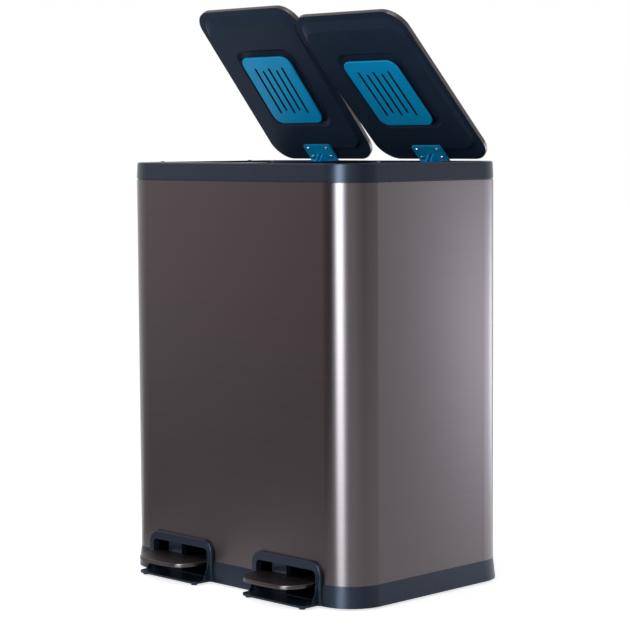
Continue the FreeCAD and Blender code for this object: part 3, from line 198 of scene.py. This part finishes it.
# %% [markdown]
# Screws, pins and the push rods are zinc plated: a bright metal, with soft blotches
# left by the bath. The blotches only change the tone and the gloss a little.


# %% Zinc plate
def zinc_plate():
    """Bright zinc on steel, with soft blotches from the bath."""
    finish, tree, shader, place = new_finish("zinc_plated_steel", Metallic=1.0)
    blotch = add_node(tree, "ShaderNodeTexNoise", {
        "Vector": place, "Scale": 1 / (6 * MM), "Detail": 4.0, "Roughness": 0.6}).outputs["Fac"]
    shade = add_node(tree, "ShaderNodeValToRGB", {"Fac": blotch},
                     stops=[(0.3, "#B4B6B9"), (0.7, "#D2D4D6")])
    tree.links.new(shade.outputs[0], shader.inputs["Base Color"])
    rough = add_node(tree, "ShaderNodeMapRange", {
        "Value": blotch, "From Min": 0.3, "From Max": 0.7, "To Min": 0.24, "To Max": 0.4})
    tree.links.new(rough.outputs[0], shader.inputs["Roughness"])
    return finish


ZINC = zinc_plate()

# %% [markdown]
# The filter pad is open cell foam soaked in carbon: dull black, with pores of about a
# millimetre. Cells that touch are what Voronoi noise looks like, so its distance gives
# the bump, and it also paints each pore darker, as painted shade in its hollow.


# %% Carbon foam
def carbon_foam():
    """Dull black foam with open pores, painted darker inside as painted shade."""
    finish, tree, shader, place = new_finish("carbon_filter_foam", Roughness=0.95,
                                             Specular_IOR_Level=0.1)
    cells = add_node(tree, "ShaderNodeTexVoronoi", {"Vector": place, "Scale": 1 / (1.6 * MM)})
    # Painted shade: the ramp makes each pore's middle darker than the struts round it.
    shade = add_node(tree, "ShaderNodeValToRGB", {"Fac": cells.outputs["Distance"]},
                     stops=[(0.1, "#060607"), (0.6, "#1C1D1F")])
    tree.links.new(shade.outputs[0], shader.inputs["Base Color"])
    relief = add_node(tree, "ShaderNodeBump", {
        "Height": cells.outputs["Distance"], "Distance": 0.3 * MM})
    tree.links.new(relief.outputs[0], shader.inputs["Normal"])
    return finish


FOAM = carbon_foam()
print(len(bpy.data.materials), "finishes and packed slots")

# %% [markdown]
# Each CAD solid takes the finish of what it is made from. Its mesh is already right,
# so only the material in its slot changes.

# %% Finishes on the solids
FINISHES = {
    "steel_shell": STEEL, "pedal_plate": SHADED_PEDAL_STEEL,
    "rim_frame": RIM, "base_moulding": RIM, "pedal_surround": RIM,
    "lid_liner": LINER, "filter_tray": LINER,
    "hinge_bracket": TEAL, "filter_grille": TEAL,
    "inner_bucket": BUCKET, "rod_guide": BUCKET,
    "hinge_pin": ZINC, "pivot_pin": ZINC, "push_rod": ZINC, "damper_piston": ZINC,
    "bracket_screws": ZINC, "pedal_rivets": SHADED_PEDAL_STEEL,
    "pedal_lever": COAT, "damper_cylinder": COAT,
    "rubber_feet": RUBBER, "lid_buffers": RUBBER, "filter_pad": FOAM,
}

def kind_and_side(name):
    """Splits lid_cover_left to lid_cover and left; a single piece has no side."""
    kind, _, side = name.rpartition("_")
    return (kind, side) if side in SIDES else (name, None)


finish_of = {}
for name, node in nodes.items():
    kind, side = kind_and_side(name)
    finish_of[name] = LID_STEEL[side] if kind == "lid_cover" else FINISHES[kind]
    for index in range(len(node.data.materials)):
        node.data.materials[index] = finish_of[name]
print(len(nodes), "solids have their finish")

# %% [markdown]
# The places come from the CAD model: each lid turns about its hinge, and each pedal
# about the pivot of its lever. One matrix per half takes a place on the closed lid or
# the level pedal to where it is now.

# %% Places on the lids and pedals
UNIT_X = 122.3 * MM                     # from the middle of the bin to that of a half
SHIFT = 25.6 * MM                       # from the CAD model's own origin to the frame's
HINGE_Y, HINGE_Z = 154.4 * MM + SHIFT, 637 * MM
PIVOT_Y, PIVOT_Z = -20 * MM + SHIFT, 25 * MM
SWING = math.radians(3.503)             # of a lever, to each side of level
TRAVEL = math.radians(70.0)             # of a lid, from shut to fully open
UNITS = {"left": -UNIT_X, "right": UNIT_X}
lid_place, pedal_place = {}, {}
for side in SIDES:
    hinge = Matrix.Translation((UNITS[side], HINGE_Y, HINGE_Z))
    pivot = Matrix.Translation((UNITS[side], PIVOT_Y, PIVOT_Z))
    lid_place[side] = hinge @ Matrix.Rotation(-OPEN[side], 4, "X")
    swing = SWING * (2 * OPEN[side] / TRAVEL - 1)
    pedal_place[side] = pivot @ Matrix.Rotation(swing, 4, "X")
print("hinges at", [round(value, 4) for value in lid_place["left"].translation])

# %% [markdown]
# Solids from CAD have edges of no width, and such an edge never catches the light. A
# moulded or pressed edge is always a little round. So the pieces that show get a copy
# with eased edges: the copy's loose triangles are merged, flat areas become whole
# faces again, and a narrow bevel is cut along every sharp edge. The solid's own
# normals tell which edges are meant to show, so a gentle fold stays crisp too, and
# Weighted Normal keeps the flat areas between them flat.
#
# Three kinds of copy are changed a little first. The grille is thinned behind its
# slots, so that they look clean through. The pedal's skin is drawn out a little, to
# its full outline. The rim's ledges stay in triangles, because a flat ring can't make
# one whole face.


# %% Eased edges
def dressed(piece, body, slot, *replaced):
    """Puts a finished piece on the body it rides on and hides the solids it stands for. The slot
    is not used.
    """
    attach(piece, body)
    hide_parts(*replaced)
    return piece


def plain_mesh(name, source):
    """A new object with the plain mesh that the source's modifiers give."""
    scene = bpy.context.scene
    made = bpy.data.meshes.new_from_object(source.evaluated_get(
        bpy.context.evaluated_depsgraph_get()))
    made.name = name
    piece = bpy.data.objects.new(name, made)
    scene.collection.objects.link(piece)
    bpy.data.objects.remove(source)
    return piece


FOLD = math.radians(4)                  # normals further apart make a crease
SHARP = math.radians(35)                # and faces at more than this get a bevel
FLAT = math.radians(0.4)                # triangles closer than this become one face


def spot(place):
    """A point to a hundredth of a millimetre, so that equal corners compare equal."""
    return tuple(round(value, 5) for value in place)


def folds(mesh):
    """The edges of a solid where its shading breaks, by their end points."""
    spots = [spot(vert.co) for vert in mesh.vertices]
    seen, found = {}, set()
    for face in mesh.polygons:
        corners = [(spots[mesh.loops[index].vertex_index], mesh.corner_normals[index].vector)
                   for index in face.loop_indices]
        for here, there in zip(corners, corners[1:] + corners[:1]):
            edge = frozenset((here[0], there[0]))
            normals = dict((here, there))
            for place, normal in seen.setdefault(edge, normals).items():
                if place in normals and normal.angle(normals[place], 0.0) > FOLD:
                    found.add(edge)
    return found


# The grille on the closed lid: two columns of slots on each side of the middle one,
# how far round a slot's middle the back is drawn forward, and from where to where.
SLOT_PITCH, SLOT_COLUMNS = 15.4 * MM, 2
SLOT_REACH_X, SLOT_REACH_Y = 2.4 * MM, 48 * MM
CASSETTE_Y = -157 * MM
GRILLE_BACK, THIN_BACK = 1.2 * MM, -0.5 * MM


def thinned(shape, side):
    """Draws the grille's back forward round its slots."""
    there = lid_place[side]
    back = there.inverted()
    for vert in shape.verts:
        x, y, z = back @ vert.co
        column = round(x / SLOT_PITCH)
        beside = abs(x - column * SLOT_PITCH) < SLOT_REACH_X
        along = abs(y - CASSETTE_Y) < SLOT_REACH_Y
        if z > GRILLE_BACK and abs(column) <= SLOT_COLUMNS and beside and along:
            vert.co = there @ Vector((x, y, THIN_BACK))


PEDAL_WIDER, PEDAL_LONGER, PEDAL_ROOT = 1.03, 1.015, -120 * MM


def spread(shape, side):
    """Widens the pedal's skin about its middle and draws its nose out."""
    middle = Matrix.Translation((UNITS[side], PEDAL_ROOT, 0))
    larger = Matrix.Diagonal((PEDAL_WIDER, PEDAL_LONGER, 1.0, 1.0))
    bmesh.ops.transform(shape, matrix=middle @ larger @ middle.inverted(), verts=shape.verts)


LEDGE = 620 * MM


def ledge_kept(shape, side):
    """Keeps the rim's ledges in their triangles, because rings don't stay whole."""
    for edge in shape.edges:
        edge.seam = all(abs(vert.co.z - LEDGE) < 0.01 * MM for vert in edge.verts)


RESHAPED = {"filter_grille": thinned, "pedal_plate": spread, "rim_frame": ledge_kept}


def eased(name, width, body, slot):
    """A copy of a solid with its sharp edges rounded to the width."""
    creases = folds(nodes[name].data)
    shape = bmesh.new()
    shape.from_mesh(nodes[name].data)
    bmesh.ops.remove_doubles(shape, verts=shape.verts, dist=0.002 * MM)
    for edge in shape.edges:
        edge.smooth = frozenset(spot(vert.co) for vert in edge.verts) not in creases
    kind, side = kind_and_side(name)
    if kind in RESHAPED:
        RESHAPED[kind](shape, side)
    bmesh.ops.dissolve_limit(shape, angle_limit=FLAT, verts=shape.verts,
                             edges=shape.edges, delimit={"SHARP", "SEAM"})
    sharp = [edge for edge in shape.edges if not edge.smooth and edge.is_manifold
             and edge.calc_face_angle(0.0) > SHARP]
    bmesh.ops.bevel(shape, geom=sharp, offset=width, segments=2, profile=0.5,
                    affect="EDGES", clamp_overlap=True)
    for face in shape.faces:
        face.smooth = True
    mesh = bpy.data.meshes.new(name + "_draft")
    shape.to_mesh(mesh)
    shape.free()
    mesh.materials.append(finish_of[name])
    draft = bpy.data.objects.new(name + "_draft", mesh)
    bpy.context.scene.collection.objects.link(draft)
    even = draft.modifiers.new("even", "WEIGHTED_NORMAL")
    even.keep_sharp = True
    return dressed(plain_mesh(name + "_eased", draft), body, slot, name)


EASED = [("rim_frame", 0.5, "bin_body", "rim_plastic"),
         ("base_moulding", 0.4, "bin_body", "rim_plastic")]
for side in SIDES:
    EASED += [("pedal_surround_" + side, 0.9, "bin_body", "rim_plastic"),
              ("pedal_plate_" + side, 0.3, "pedal_" + side, "brushed_steel"),
              ("hinge_bracket_" + side, 0.4, "lid_" + side, "teal_plastic"),
              ("lid_liner_" + side, 0.8, "lid_" + side, "liner_plastic"),
              ("lid_cover_" + side, 0.2, "lid_" + side, "brushed_steel"),
              ("filter_grille_" + side, 0.3, "cassette_" + side, "teal_plastic")]
for name, width, body, slot in EASED:
    piece = eased(name, width * MM, body, slot)
    print(piece.name, len(piece.data.polygons), "faces")

# %% [markdown]
# Screws, rivet heads, feet and buffers are turned shapes that repeat. Each is drawn
# once, by spinning its half outline round the Z axis. A pan head screw also has a
# cross recess, which is cut out with a small cross.


# %% Turned shapes
def turned(name, outline, steps=32):
    """Spins a half outline of radius and height round Z into a closed shape."""
    shape = bmesh.new()
    points = [shape.verts.new((radius, 0.0, height)) for radius, height in outline]
    edges = [shape.edges.new(pair) for pair in zip(points, points[1:])]
    bmesh.ops.spin(shape, geom=points + edges, cent=(0, 0, 0), axis=(0, 0, 1),
                   angle=math.tau, steps=steps, use_merge=True)
    bmesh.ops.remove_doubles(shape, verts=shape.verts, dist=0.001 * MM)
    bmesh.ops.recalc_face_normals(shape, faces=shape.faces)
    for face in shape.faces:
        face.smooth = True
    mesh = bpy.data.meshes.new(name)
    shape.to_mesh(mesh)
    shape.free()
    mesh.set_sharp_from_angle(angle=math.radians(40))
    made = bpy.data.objects.new(name, mesh)
    bpy.context.scene.collection.objects.link(made)
    return made


def millimetres(*pairs):
    """Outline points written in millimetres."""
    return [(radius * MM, height * MM) for radius, height in pairs]


pan_head = turned("pan_head", millimetres(
    (0, -4.0), (1.2, -4.0), (1.45, -3.6), (1.45, 0), (2.55, 0), (2.8, 0.2), (2.8, 0.7),
    (2.62, 1.1), (2.2, 1.4), (1.5, 1.56), (0, 1.6)))
cross = bmesh.new()
for size in ((1.9, 0.55, 1.6), (0.55, 1.9, 1.6)):
    bar = bmesh.ops.create_cube(cross, size=1.0)["verts"]
    bmesh.ops.scale(cross, vec=[length * MM for length in size], verts=bar)
    bmesh.ops.translate(cross, vec=(0, 0, 1.6 * MM), verts=bar)
cutter_mesh = bpy.data.meshes.new("cross_recess")
cross.to_mesh(cutter_mesh)
cross.free()
cutter = bpy.data.objects.new("cross_recess", cutter_mesh)
bpy.context.scene.collection.objects.link(cutter)
recess = pan_head.modifiers.new("recess", "BOOLEAN")
recess.object, recess.operation, recess.solver = cutter, "DIFFERENCE", "EXACT"
recess.use_self = True
pan_head = plain_mesh("pan_head_cross", pan_head)
bpy.data.objects.remove(cutter)

rivet_head = turned("rivet_head", millimetres(
    (0, -3.6), (1.7, -3.6), (1.9, -3.4), (1.9, 0), (3.8, 0), (4.0, 0.15), (3.9, 0.5),
    (3.2, 0.95), (1.8, 1.18), (0, 1.2)))
buffer_dome = turned("buffer_dome", millimetres(
    (0, 0), (3.0, 0), (3.0, 0.3), (2.75, 0.68), (2.1, 0.9), (1.2, 0.99), (0, 1.0)))
ringed_foot = turned("ringed_foot", millimetres(
    (0, 0.7), (4.0, 0.7), (4.6, 0.0), (6.4, 0.0), (7.0, 0.7), (8.2, 0.7), (8.8, 0.0),
    (11.2, 0.0), (12.0, 0.7), (12.0, 3.0), (0, 3.0)), steps=48)
print("screw head has", len(pan_head.data.polygons), "faces")

# %% [markdown]
# One Geometry Nodes tree sets a shape out on a grid, because all of these sit in rows
# and columns. Its seed only turns the screws a little, as a hand driver leaves them.


# %% The tree that sets a shape out on a grid
def rows_and_columns():
    """A Geometry Nodes tree: a shape on every point of a grid, each turned at random."""
    tree = bpy.data.node_groups.new("rows_and_columns", "GeometryNodeTree")
    sockets = [("Shape", "NodeSocketObject"), ("Across", "NodeSocketFloat"),
               ("Along", "NodeSocketFloat"), ("Columns", "NodeSocketInt"),
               ("Rows", "NodeSocketInt"), ("Turn", "NodeSocketFloat"),
               ("Seed", "NodeSocketInt"), ("Finish", "NodeSocketMaterial")]
    for name, kind in sockets:
        tree.interface.new_socket(name, in_out="INPUT", socket_type=kind)
    tree.interface.new_socket("Geometry", in_out="OUTPUT", socket_type="NodeSocketGeometry")
    given = add_node(tree, "NodeGroupInput").outputs
    grid = add_node(tree, "GeometryNodeMeshGrid", {
        "Size X": given["Across"], "Size Y": given["Along"],
        "Vertices X": given["Columns"], "Vertices Y": given["Rows"]})
    # Its sockets share their names, so the number's maximum and result go by index.
    angle = add_node(tree, "FunctionNodeRandomValue", {3: given["Turn"], "Seed": given["Seed"]})
    turn = add_node(tree, "ShaderNodeCombineXYZ", {"Z": angle.outputs[1]})
    shape = add_node(tree, "GeometryNodeObjectInfo", {"Object": given["Shape"]})
    placed = add_node(tree, "GeometryNodeInstanceOnPoints", {
        "Points": grid.outputs["Mesh"], "Instance": shape.outputs["Geometry"],
        "Rotation": turn.outputs[0]})
    real = add_node(tree, "GeometryNodeRealizeInstances", {"Geometry": placed.outputs[0]})
    dyed = add_node(tree, "GeometryNodeSetMaterial", {
        "Geometry": real.outputs[0], "Material": given["Finish"]})
    add_node(tree, "NodeGroupOutput", {"Geometry": dyed.outputs[0]})
    return tree


ROWS = rows_and_columns()


def set_out(name, matrix, **values):
    """Runs the tree with the values and puts the plain result in place."""
    carrier = bpy.data.objects.new(name + "_grid", bpy.data.meshes.new(name + "_grid"))
    bpy.context.scene.collection.objects.link(carrier)
    layout = carrier.modifiers.new("rows", "NODES")
    layout.node_group = ROWS
    for item in ROWS.interface.items_tree:
        if item.in_out == "INPUT":
            layout[item.identifier] = values[item.name]
    piece = plain_mesh(name, carrier)
    piece.data.transform(matrix)
    return piece


print("tree inputs", [item.name for item in ROWS.interface.items_tree])

# %% [markdown]
# Screws and rivets point down on the closed lid and the level pedal, so they are
# turned over first. The screws hold the bracket plate, the rivets the lever's roof.

# %% Set out the screws, rivets, buffers and feet
over = Matrix.Rotation(math.pi, 4, "X")
for side, sign in (("left", -1), ("right", 1)):
    screws = set_out("pan_head_screws_" + side,
                     lid_place[side] @ Matrix.Translation((0, -26.2 * MM, 1.4 * MM)) @ over,
                     Shape=pan_head, Across=42 * MM, Along=17.4 * MM, Columns=2, Rows=2,
                     Turn=math.pi, Seed=3 + sign, Finish=ZINC)
    dressed(screws, "lid_" + side, "plated_steel", "bracket_screws_" + side)
    rivets = set_out("pedal_rivet_heads_" + side,
                     pedal_place[side] @ Matrix.Translation((0, -176 * MM, 11.0 * MM)) @ over,
                     Shape=rivet_head, Across=1 * MM, Along=24 * MM, Columns=1, Rows=2,
                     Turn=0.0, Seed=0, Finish=SHADED_PEDAL_STEEL)
    dressed(rivets, "pedal_" + side, "plated_steel", "pedal_rivets_" + side)
    buffers = set_out("buffer_domes_" + side,
                      Matrix.Translation((UNITS[side], -10 * MM + SHIFT, 645 * MM)),
                      Shape=buffer_dome, Across=221.6 * MM, Along=190 * MM, Columns=2, Rows=2,
                      Turn=0.0, Seed=0, Finish=RUBBER)
    dressed(buffers, "bin_body", "rubber", "lid_buffers_" + side)
feet = set_out("ringed_feet", Matrix.Translation((0, 5 * MM + SHIFT, 0)),
               Shape=ringed_foot, Across=400 * MM, Along=240 * MM, Columns=2, Rows=2,
               Turn=0.0, Seed=0, Finish=RUBBER)
dressed(feet, "bin_body", "rubber", "rubber_feet")
for shape in (pan_head, rivet_head, buffer_dome, ringed_foot):
    bpy.data.objects.remove(shape)
print("feet stand at", [round(value, 4) for value in feet.data.vertices[0].co])

# %% [markdown]
# The filter pad is cut from soft foam and pushed into its tray, so its faces bulge a
# little and its sides pull in between the corners. A grid for each face is bent to
# that form and the two are joined along the seam, which is simpler than a cloth
# simulation for a pad that the tray holds on every side.


# %% Filter pads
def foam_pad(side):
    """A crowned pad with soft corners, in the closed lid's place."""
    half_x, half_y, half_z, crown = 48.5 * MM, 60.5 * MM, 2.75 * MM, 0.18 * MM
    shape = bmesh.new()
    for up in (-1, 1):
        made = bmesh.ops.create_grid(shape, x_segments=36, y_segments=44, size=1.0)["verts"]
        for vert in made:
            u, v = vert.co.x, vert.co.y
            rim = max(abs(u), abs(v)) ** 10
            waist_x = 1 - 0.012 * (1 - v * v)
            waist_y = 1 - 0.010 * (1 - u * u)
            vert.co.x = half_x * u * waist_x * math.sqrt(1 - 0.16 * v ** 8)
            vert.co.y = half_y * v * waist_y * math.sqrt(1 - 0.12 * u ** 8)
            swell = crown * math.cos(u * math.pi / 2) * math.cos(v * math.pi / 2)
            vert.co.z = up * ((half_z - crown) * math.sqrt(max(0.0, 1 - rim)) + swell)
    bmesh.ops.remove_doubles(shape, verts=shape.verts, dist=0.02 * MM)
    bmesh.ops.recalc_face_normals(shape, faces=shape.faces)
    for face in shape.faces:
        face.smooth = True
    mesh = bpy.data.meshes.new("foam_pad_" + side)
    shape.to_mesh(mesh)
    shape.free()
    mesh.materials.append(FOAM)
    mesh.transform(lid_place[side] @ Matrix.Translation((0, CASSETTE_Y, 4.35 * MM)))
    pad = bpy.data.objects.new("foam_pad_" + side, mesh)
    bpy.context.scene.collection.objects.link(pad)
    return pad


for side in SIDES:
    pad = dressed(foam_pad(side), "cassette_" + side, "carbon_foam", "filter_pad_" + side)
    print(pad.name, [round(value, 4) for value in pad.dimensions])

# %% [markdown]
# The studio is a white sweep: a floor and a world that the camera and the metal both
# see as white. Other rays get a dimmer world, so the lamps do the modelling. The
# floor adds its own light only for those rays, which keeps the shadow of the bin.


# %% White floor and world
def sees_background(tree):
    """1 for camera, glossy and transmission rays, which see the white background."""
    path = add_node(tree, "ShaderNodeLightPath")
    seen = path.outputs["Is Camera Ray"]
    for ray in ("Is Glossy Ray", "Is Transmission Ray"):
        seen = add_node(tree, "ShaderNodeMath", {0: seen, 1: path.outputs[ray]},
                        operation="MAXIMUM").outputs[0]
    return seen


FILL = 0.5
world = bpy.data.worlds.new("white_studio")
bpy.context.scene.world = world
world.use_nodes = True
sky = world.node_tree
sky.nodes.clear()
white = add_node(sky, "ShaderNodeBackground", {"Color": linear("#FFFFFF"), "Strength": 1.0})
fill = add_node(sky, "ShaderNodeBackground", {"Color": linear("#F4F6FF"), "Strength": FILL})
both = add_node(sky, "ShaderNodeMixShader", {0: sees_background(sky), 1: fill.outputs[0],
                                              2: white.outputs[0]})
add_node(sky, "ShaderNodeOutputWorld", {"Surface": both.outputs[0]})

FLOOR_REACH = 14.0
LIFT = 0.72
sheet = bpy.data.meshes.new("studio_floor")
sheet.from_pydata([(-FLOOR_REACH, -FLOOR_REACH, 0), (FLOOR_REACH, -FLOOR_REACH, 0),
                   (FLOOR_REACH, FLOOR_REACH, 0), (-FLOOR_REACH, FLOOR_REACH, 0)],
                  [], [(0, 1, 2, 3)])
floor = bpy.data.objects.new("studio_floor", sheet)
bpy.context.scene.collection.objects.link(floor)
paper, tree, shader, place = new_finish("white_paper_sweep", Roughness=0.9,
                                        Specular_IOR_Level=0.0)
fibre = add_node(tree, "ShaderNodeTexNoise", {"Vector": place, "Scale": 2.5})
shade = add_node(tree, "ShaderNodeValToRGB", {"Fac": fibre.outputs["Fac"]},
                 stops=[(0.0, "#D6D6D6"), (1.0, "#DCDCDC")])
tree.links.new(shade.outputs[0], shader.inputs["Base Color"])
strength = add_node(tree, "ShaderNodeMath", {0: sees_background(tree), 1: LIFT},
                    operation="MULTIPLY")
lift = add_node(tree, "ShaderNodeEmission", {"Color": linear("#FFFFFF"),
                                              "Strength": strength.outputs[0]})
joined = add_node(tree, "ShaderNodeAddShader", {0: shader.outputs[0], 1: lift.outputs[0]})
tree.links.new(joined.outputs[0], tree.nodes["Material Output"].inputs["Surface"])
sheet.materials.append(paper)
print("floor", FLOOR_REACH * 2, "m across")

# %% [markdown]
# Four soft lamps light the plastics: a low one in front that reaches under the open
# lids, one on the left that grazes their lips, one behind on the right, and one
# overhead. Steel is lit by what it mirrors, so it gets sheets of its own that only
# reflections see. A bright strip right of the front draws the stripe on the near
# corner, and one behind on the right lights the rear of the steel side. Grey cards,
# one of them flat on the floor, tone down what the flat front and the corner's far
# half mirror, as photographers do.


# %% Lamps and cards
def soft_box(name, place, aim, width, height, radiance, colour="#FFFFFF"):
    """A rectangular lamp; radiance 1 shines as bright as white paper."""
    lamp = bpy.data.lights.new(name, "AREA")
    lamp.shape = "RECTANGLE"
    lamp.size, lamp.size_y = width, height
    lamp.energy = radiance * width * height * math.pi
    lamp.color = linear(colour)[:3]
    made = bpy.data.objects.new(name, lamp)
    bpy.context.scene.collection.objects.link(made)
    made.location = place
    made.rotation_euler = (Vector(aim) - Vector(place)).to_track_quat("-Z", "Y").to_euler()
    made.visible_camera = made.visible_glossy = False
    return made


def card(name, near, far, low, high, stops):
    """A curved sheet round the bin that only gloss sees, from near and low to far and high.

    Each stop is a bearing with the tone and strength that the sheet has there;
    bearing 0 is the front and 90 the right side.
    """
    start, end = stops[0][0], stops[-1][0]
    steps = int(end - start)
    mesh = bpy.data.meshes.new(name)
    corners, tones = [], []
    for step in range(steps + 1):
        bearing = start + (end - start) * step / steps
        x, y = math.sin(math.radians(bearing)), -math.cos(math.radians(bearing))
        corners += [(x * near, y * near, low), (x * far, y * far, high)]
        before = [stop for stop in stops if stop[0] <= bearing + 1e-6][-1]
        after = [stop for stop in stops if stop[0] >= bearing - 1e-6][0]
        part = 0.0 if after is before else (bearing - before[0]) / (after[0] - before[0])
        ends = [[value * stop[2] for value in linear(stop[1])[:3]] for stop in (before, after)]
        tones.append([near + (far - near) * part for near, far in zip(*ends)])
    mesh.from_pydata(corners, [], [(2 * i, 2 * i + 2, 2 * i + 3, 2 * i + 1) for i in range(steps)])
    shine = mesh.attributes.new("shine", "FLOAT_COLOR", "POINT")
    for index, tone in enumerate(tones):
        shine.data[2 * index].color = shine.data[2 * index + 1].color = (*tone, 1.0)
    glow = bpy.data.materials.new(name)
    glow.use_nodes = True
    tree = glow.node_tree
    tree.nodes.clear()
    tone = add_node(tree, "ShaderNodeAttribute", attribute_name="shine")
    light = add_node(tree, "ShaderNodeEmission", {"Color": tone.outputs["Color"]})
    add_node(tree, "ShaderNodeOutputMaterial", {"Surface": light.outputs[0]})
    mesh.materials.append(glow)
    made = bpy.data.objects.new(name, mesh)
    bpy.context.scene.collection.objects.link(made)
    made.visible_camera = made.visible_diffuse = made.visible_shadow = False
    made.visible_transmission = made.visible_volume_scatter = False
    return made


soft_box("front_box", (0.9, -2.6, 0.75), (0.0, -0.1, 0.6), 1.4, 1.2, 2.8)
soft_box("rear_box", (1.3, 1.9, 1.5), (0.2, 0.1, 0.5), 1.0, 1.6, 0.6)
soft_box("left_box", (-2.0, -0.9, 1.0), (0.0, 0.0, 0.7), 0.8, 1.6, 3.0)
soft_box("top_box", (-0.5, -0.5, 2.6), (0.0, 0.0, 0.5), 1.6, 1.6, 1.2)

card("left_card", 2.9, 2.9, 0.0, 3.4,
     [(-76, "#FFFFFF", 1.3), (-52, "#FFF6F8", 1.05), (-44, "#FFF2F4", 0.86),
      (-36, "#FFEAEA", 0.58), (-20, "#FFF0F0", 0.26), (-6, "#FFF0F0", 0.12)])
card("floor_card", 0.4, 2.9, 0.003, 0.003, [(-76, "#FFF4F4", 0.36), (-6, "#FFF4F4", 0.26)])
card("key_strip", 2.6, 2.6, 0.0, 2.6,
     [(-6, "#F4FAFF", 0.3), (2, "#F4FAFF", 3.0), (7, "#F4FDFF", 15.5), (15, "#F4FEFF", 24.5),
      (24, "#F4FDFF", 20.0), (30, "#F0F6FF", 5.0), (38, "#F4F4FF", 1.0)])
card("right_card", 2.9, 2.9, 0.0, 3.4,
     [(60, "#FFF8F6", 0.85), (80, "#FFF0EA", 0.5), (88, "#FFECE6", 0.42), (96, "#FFF4F0", 0.62),
      (126, "#FFFCFC", 0.68)])
card("rear_strip", 1.6, 1.6, 0.0, 0.5,
     [(126, "#FAF8FF", 0.6), (131, "#F6F8FF", 1.4), (137, "#F2F5FF", 7.2),
      (142, "#F2F5FF", 6.4), (176, "#F2F5FF", 6.6)])
print(len(bpy.data.lights), "lamps")

# %% [markdown]
# The camera stands low in front of the right corner, 3.2 m away, with a long lens, so
# the upright edges stay almost parallel. It is turned by its three axes, found from
# its angle round the bin, its tilt and a slight roll.

# %% Camera
AZIMUTH, TILT, ROLL = (math.radians(angle) for angle in (45.40, 4.87, -0.366))
back = Vector((math.sin(AZIMUTH) * math.cos(TILT), -math.cos(AZIMUTH) * math.cos(TILT),
               math.sin(TILT)))
right = Vector((math.cos(AZIMUTH), math.sin(AZIMUTH), 0.0))
up = back.cross(right)
across = math.cos(ROLL) * right + math.sin(ROLL) * up
upright = math.cos(ROLL) * up - math.sin(ROLL) * right

lens = bpy.data.cameras.new("camera")
lens.sensor_width = 36.0
lens.lens = 117.18
camera = bpy.data.objects.new("camera", lens)
bpy.context.scene.collection.objects.link(camera)
camera.matrix_world = (Matrix.Translation((2.2765, -2.2145, 0.6778))
                       @ Matrix((across, upright, back)).transposed().to_4x4())
bpy.context.scene.camera = camera
bpy.context.scene.view_settings.view_transform = "Standard"
print("camera", [round(value, 3) for value in camera.location])
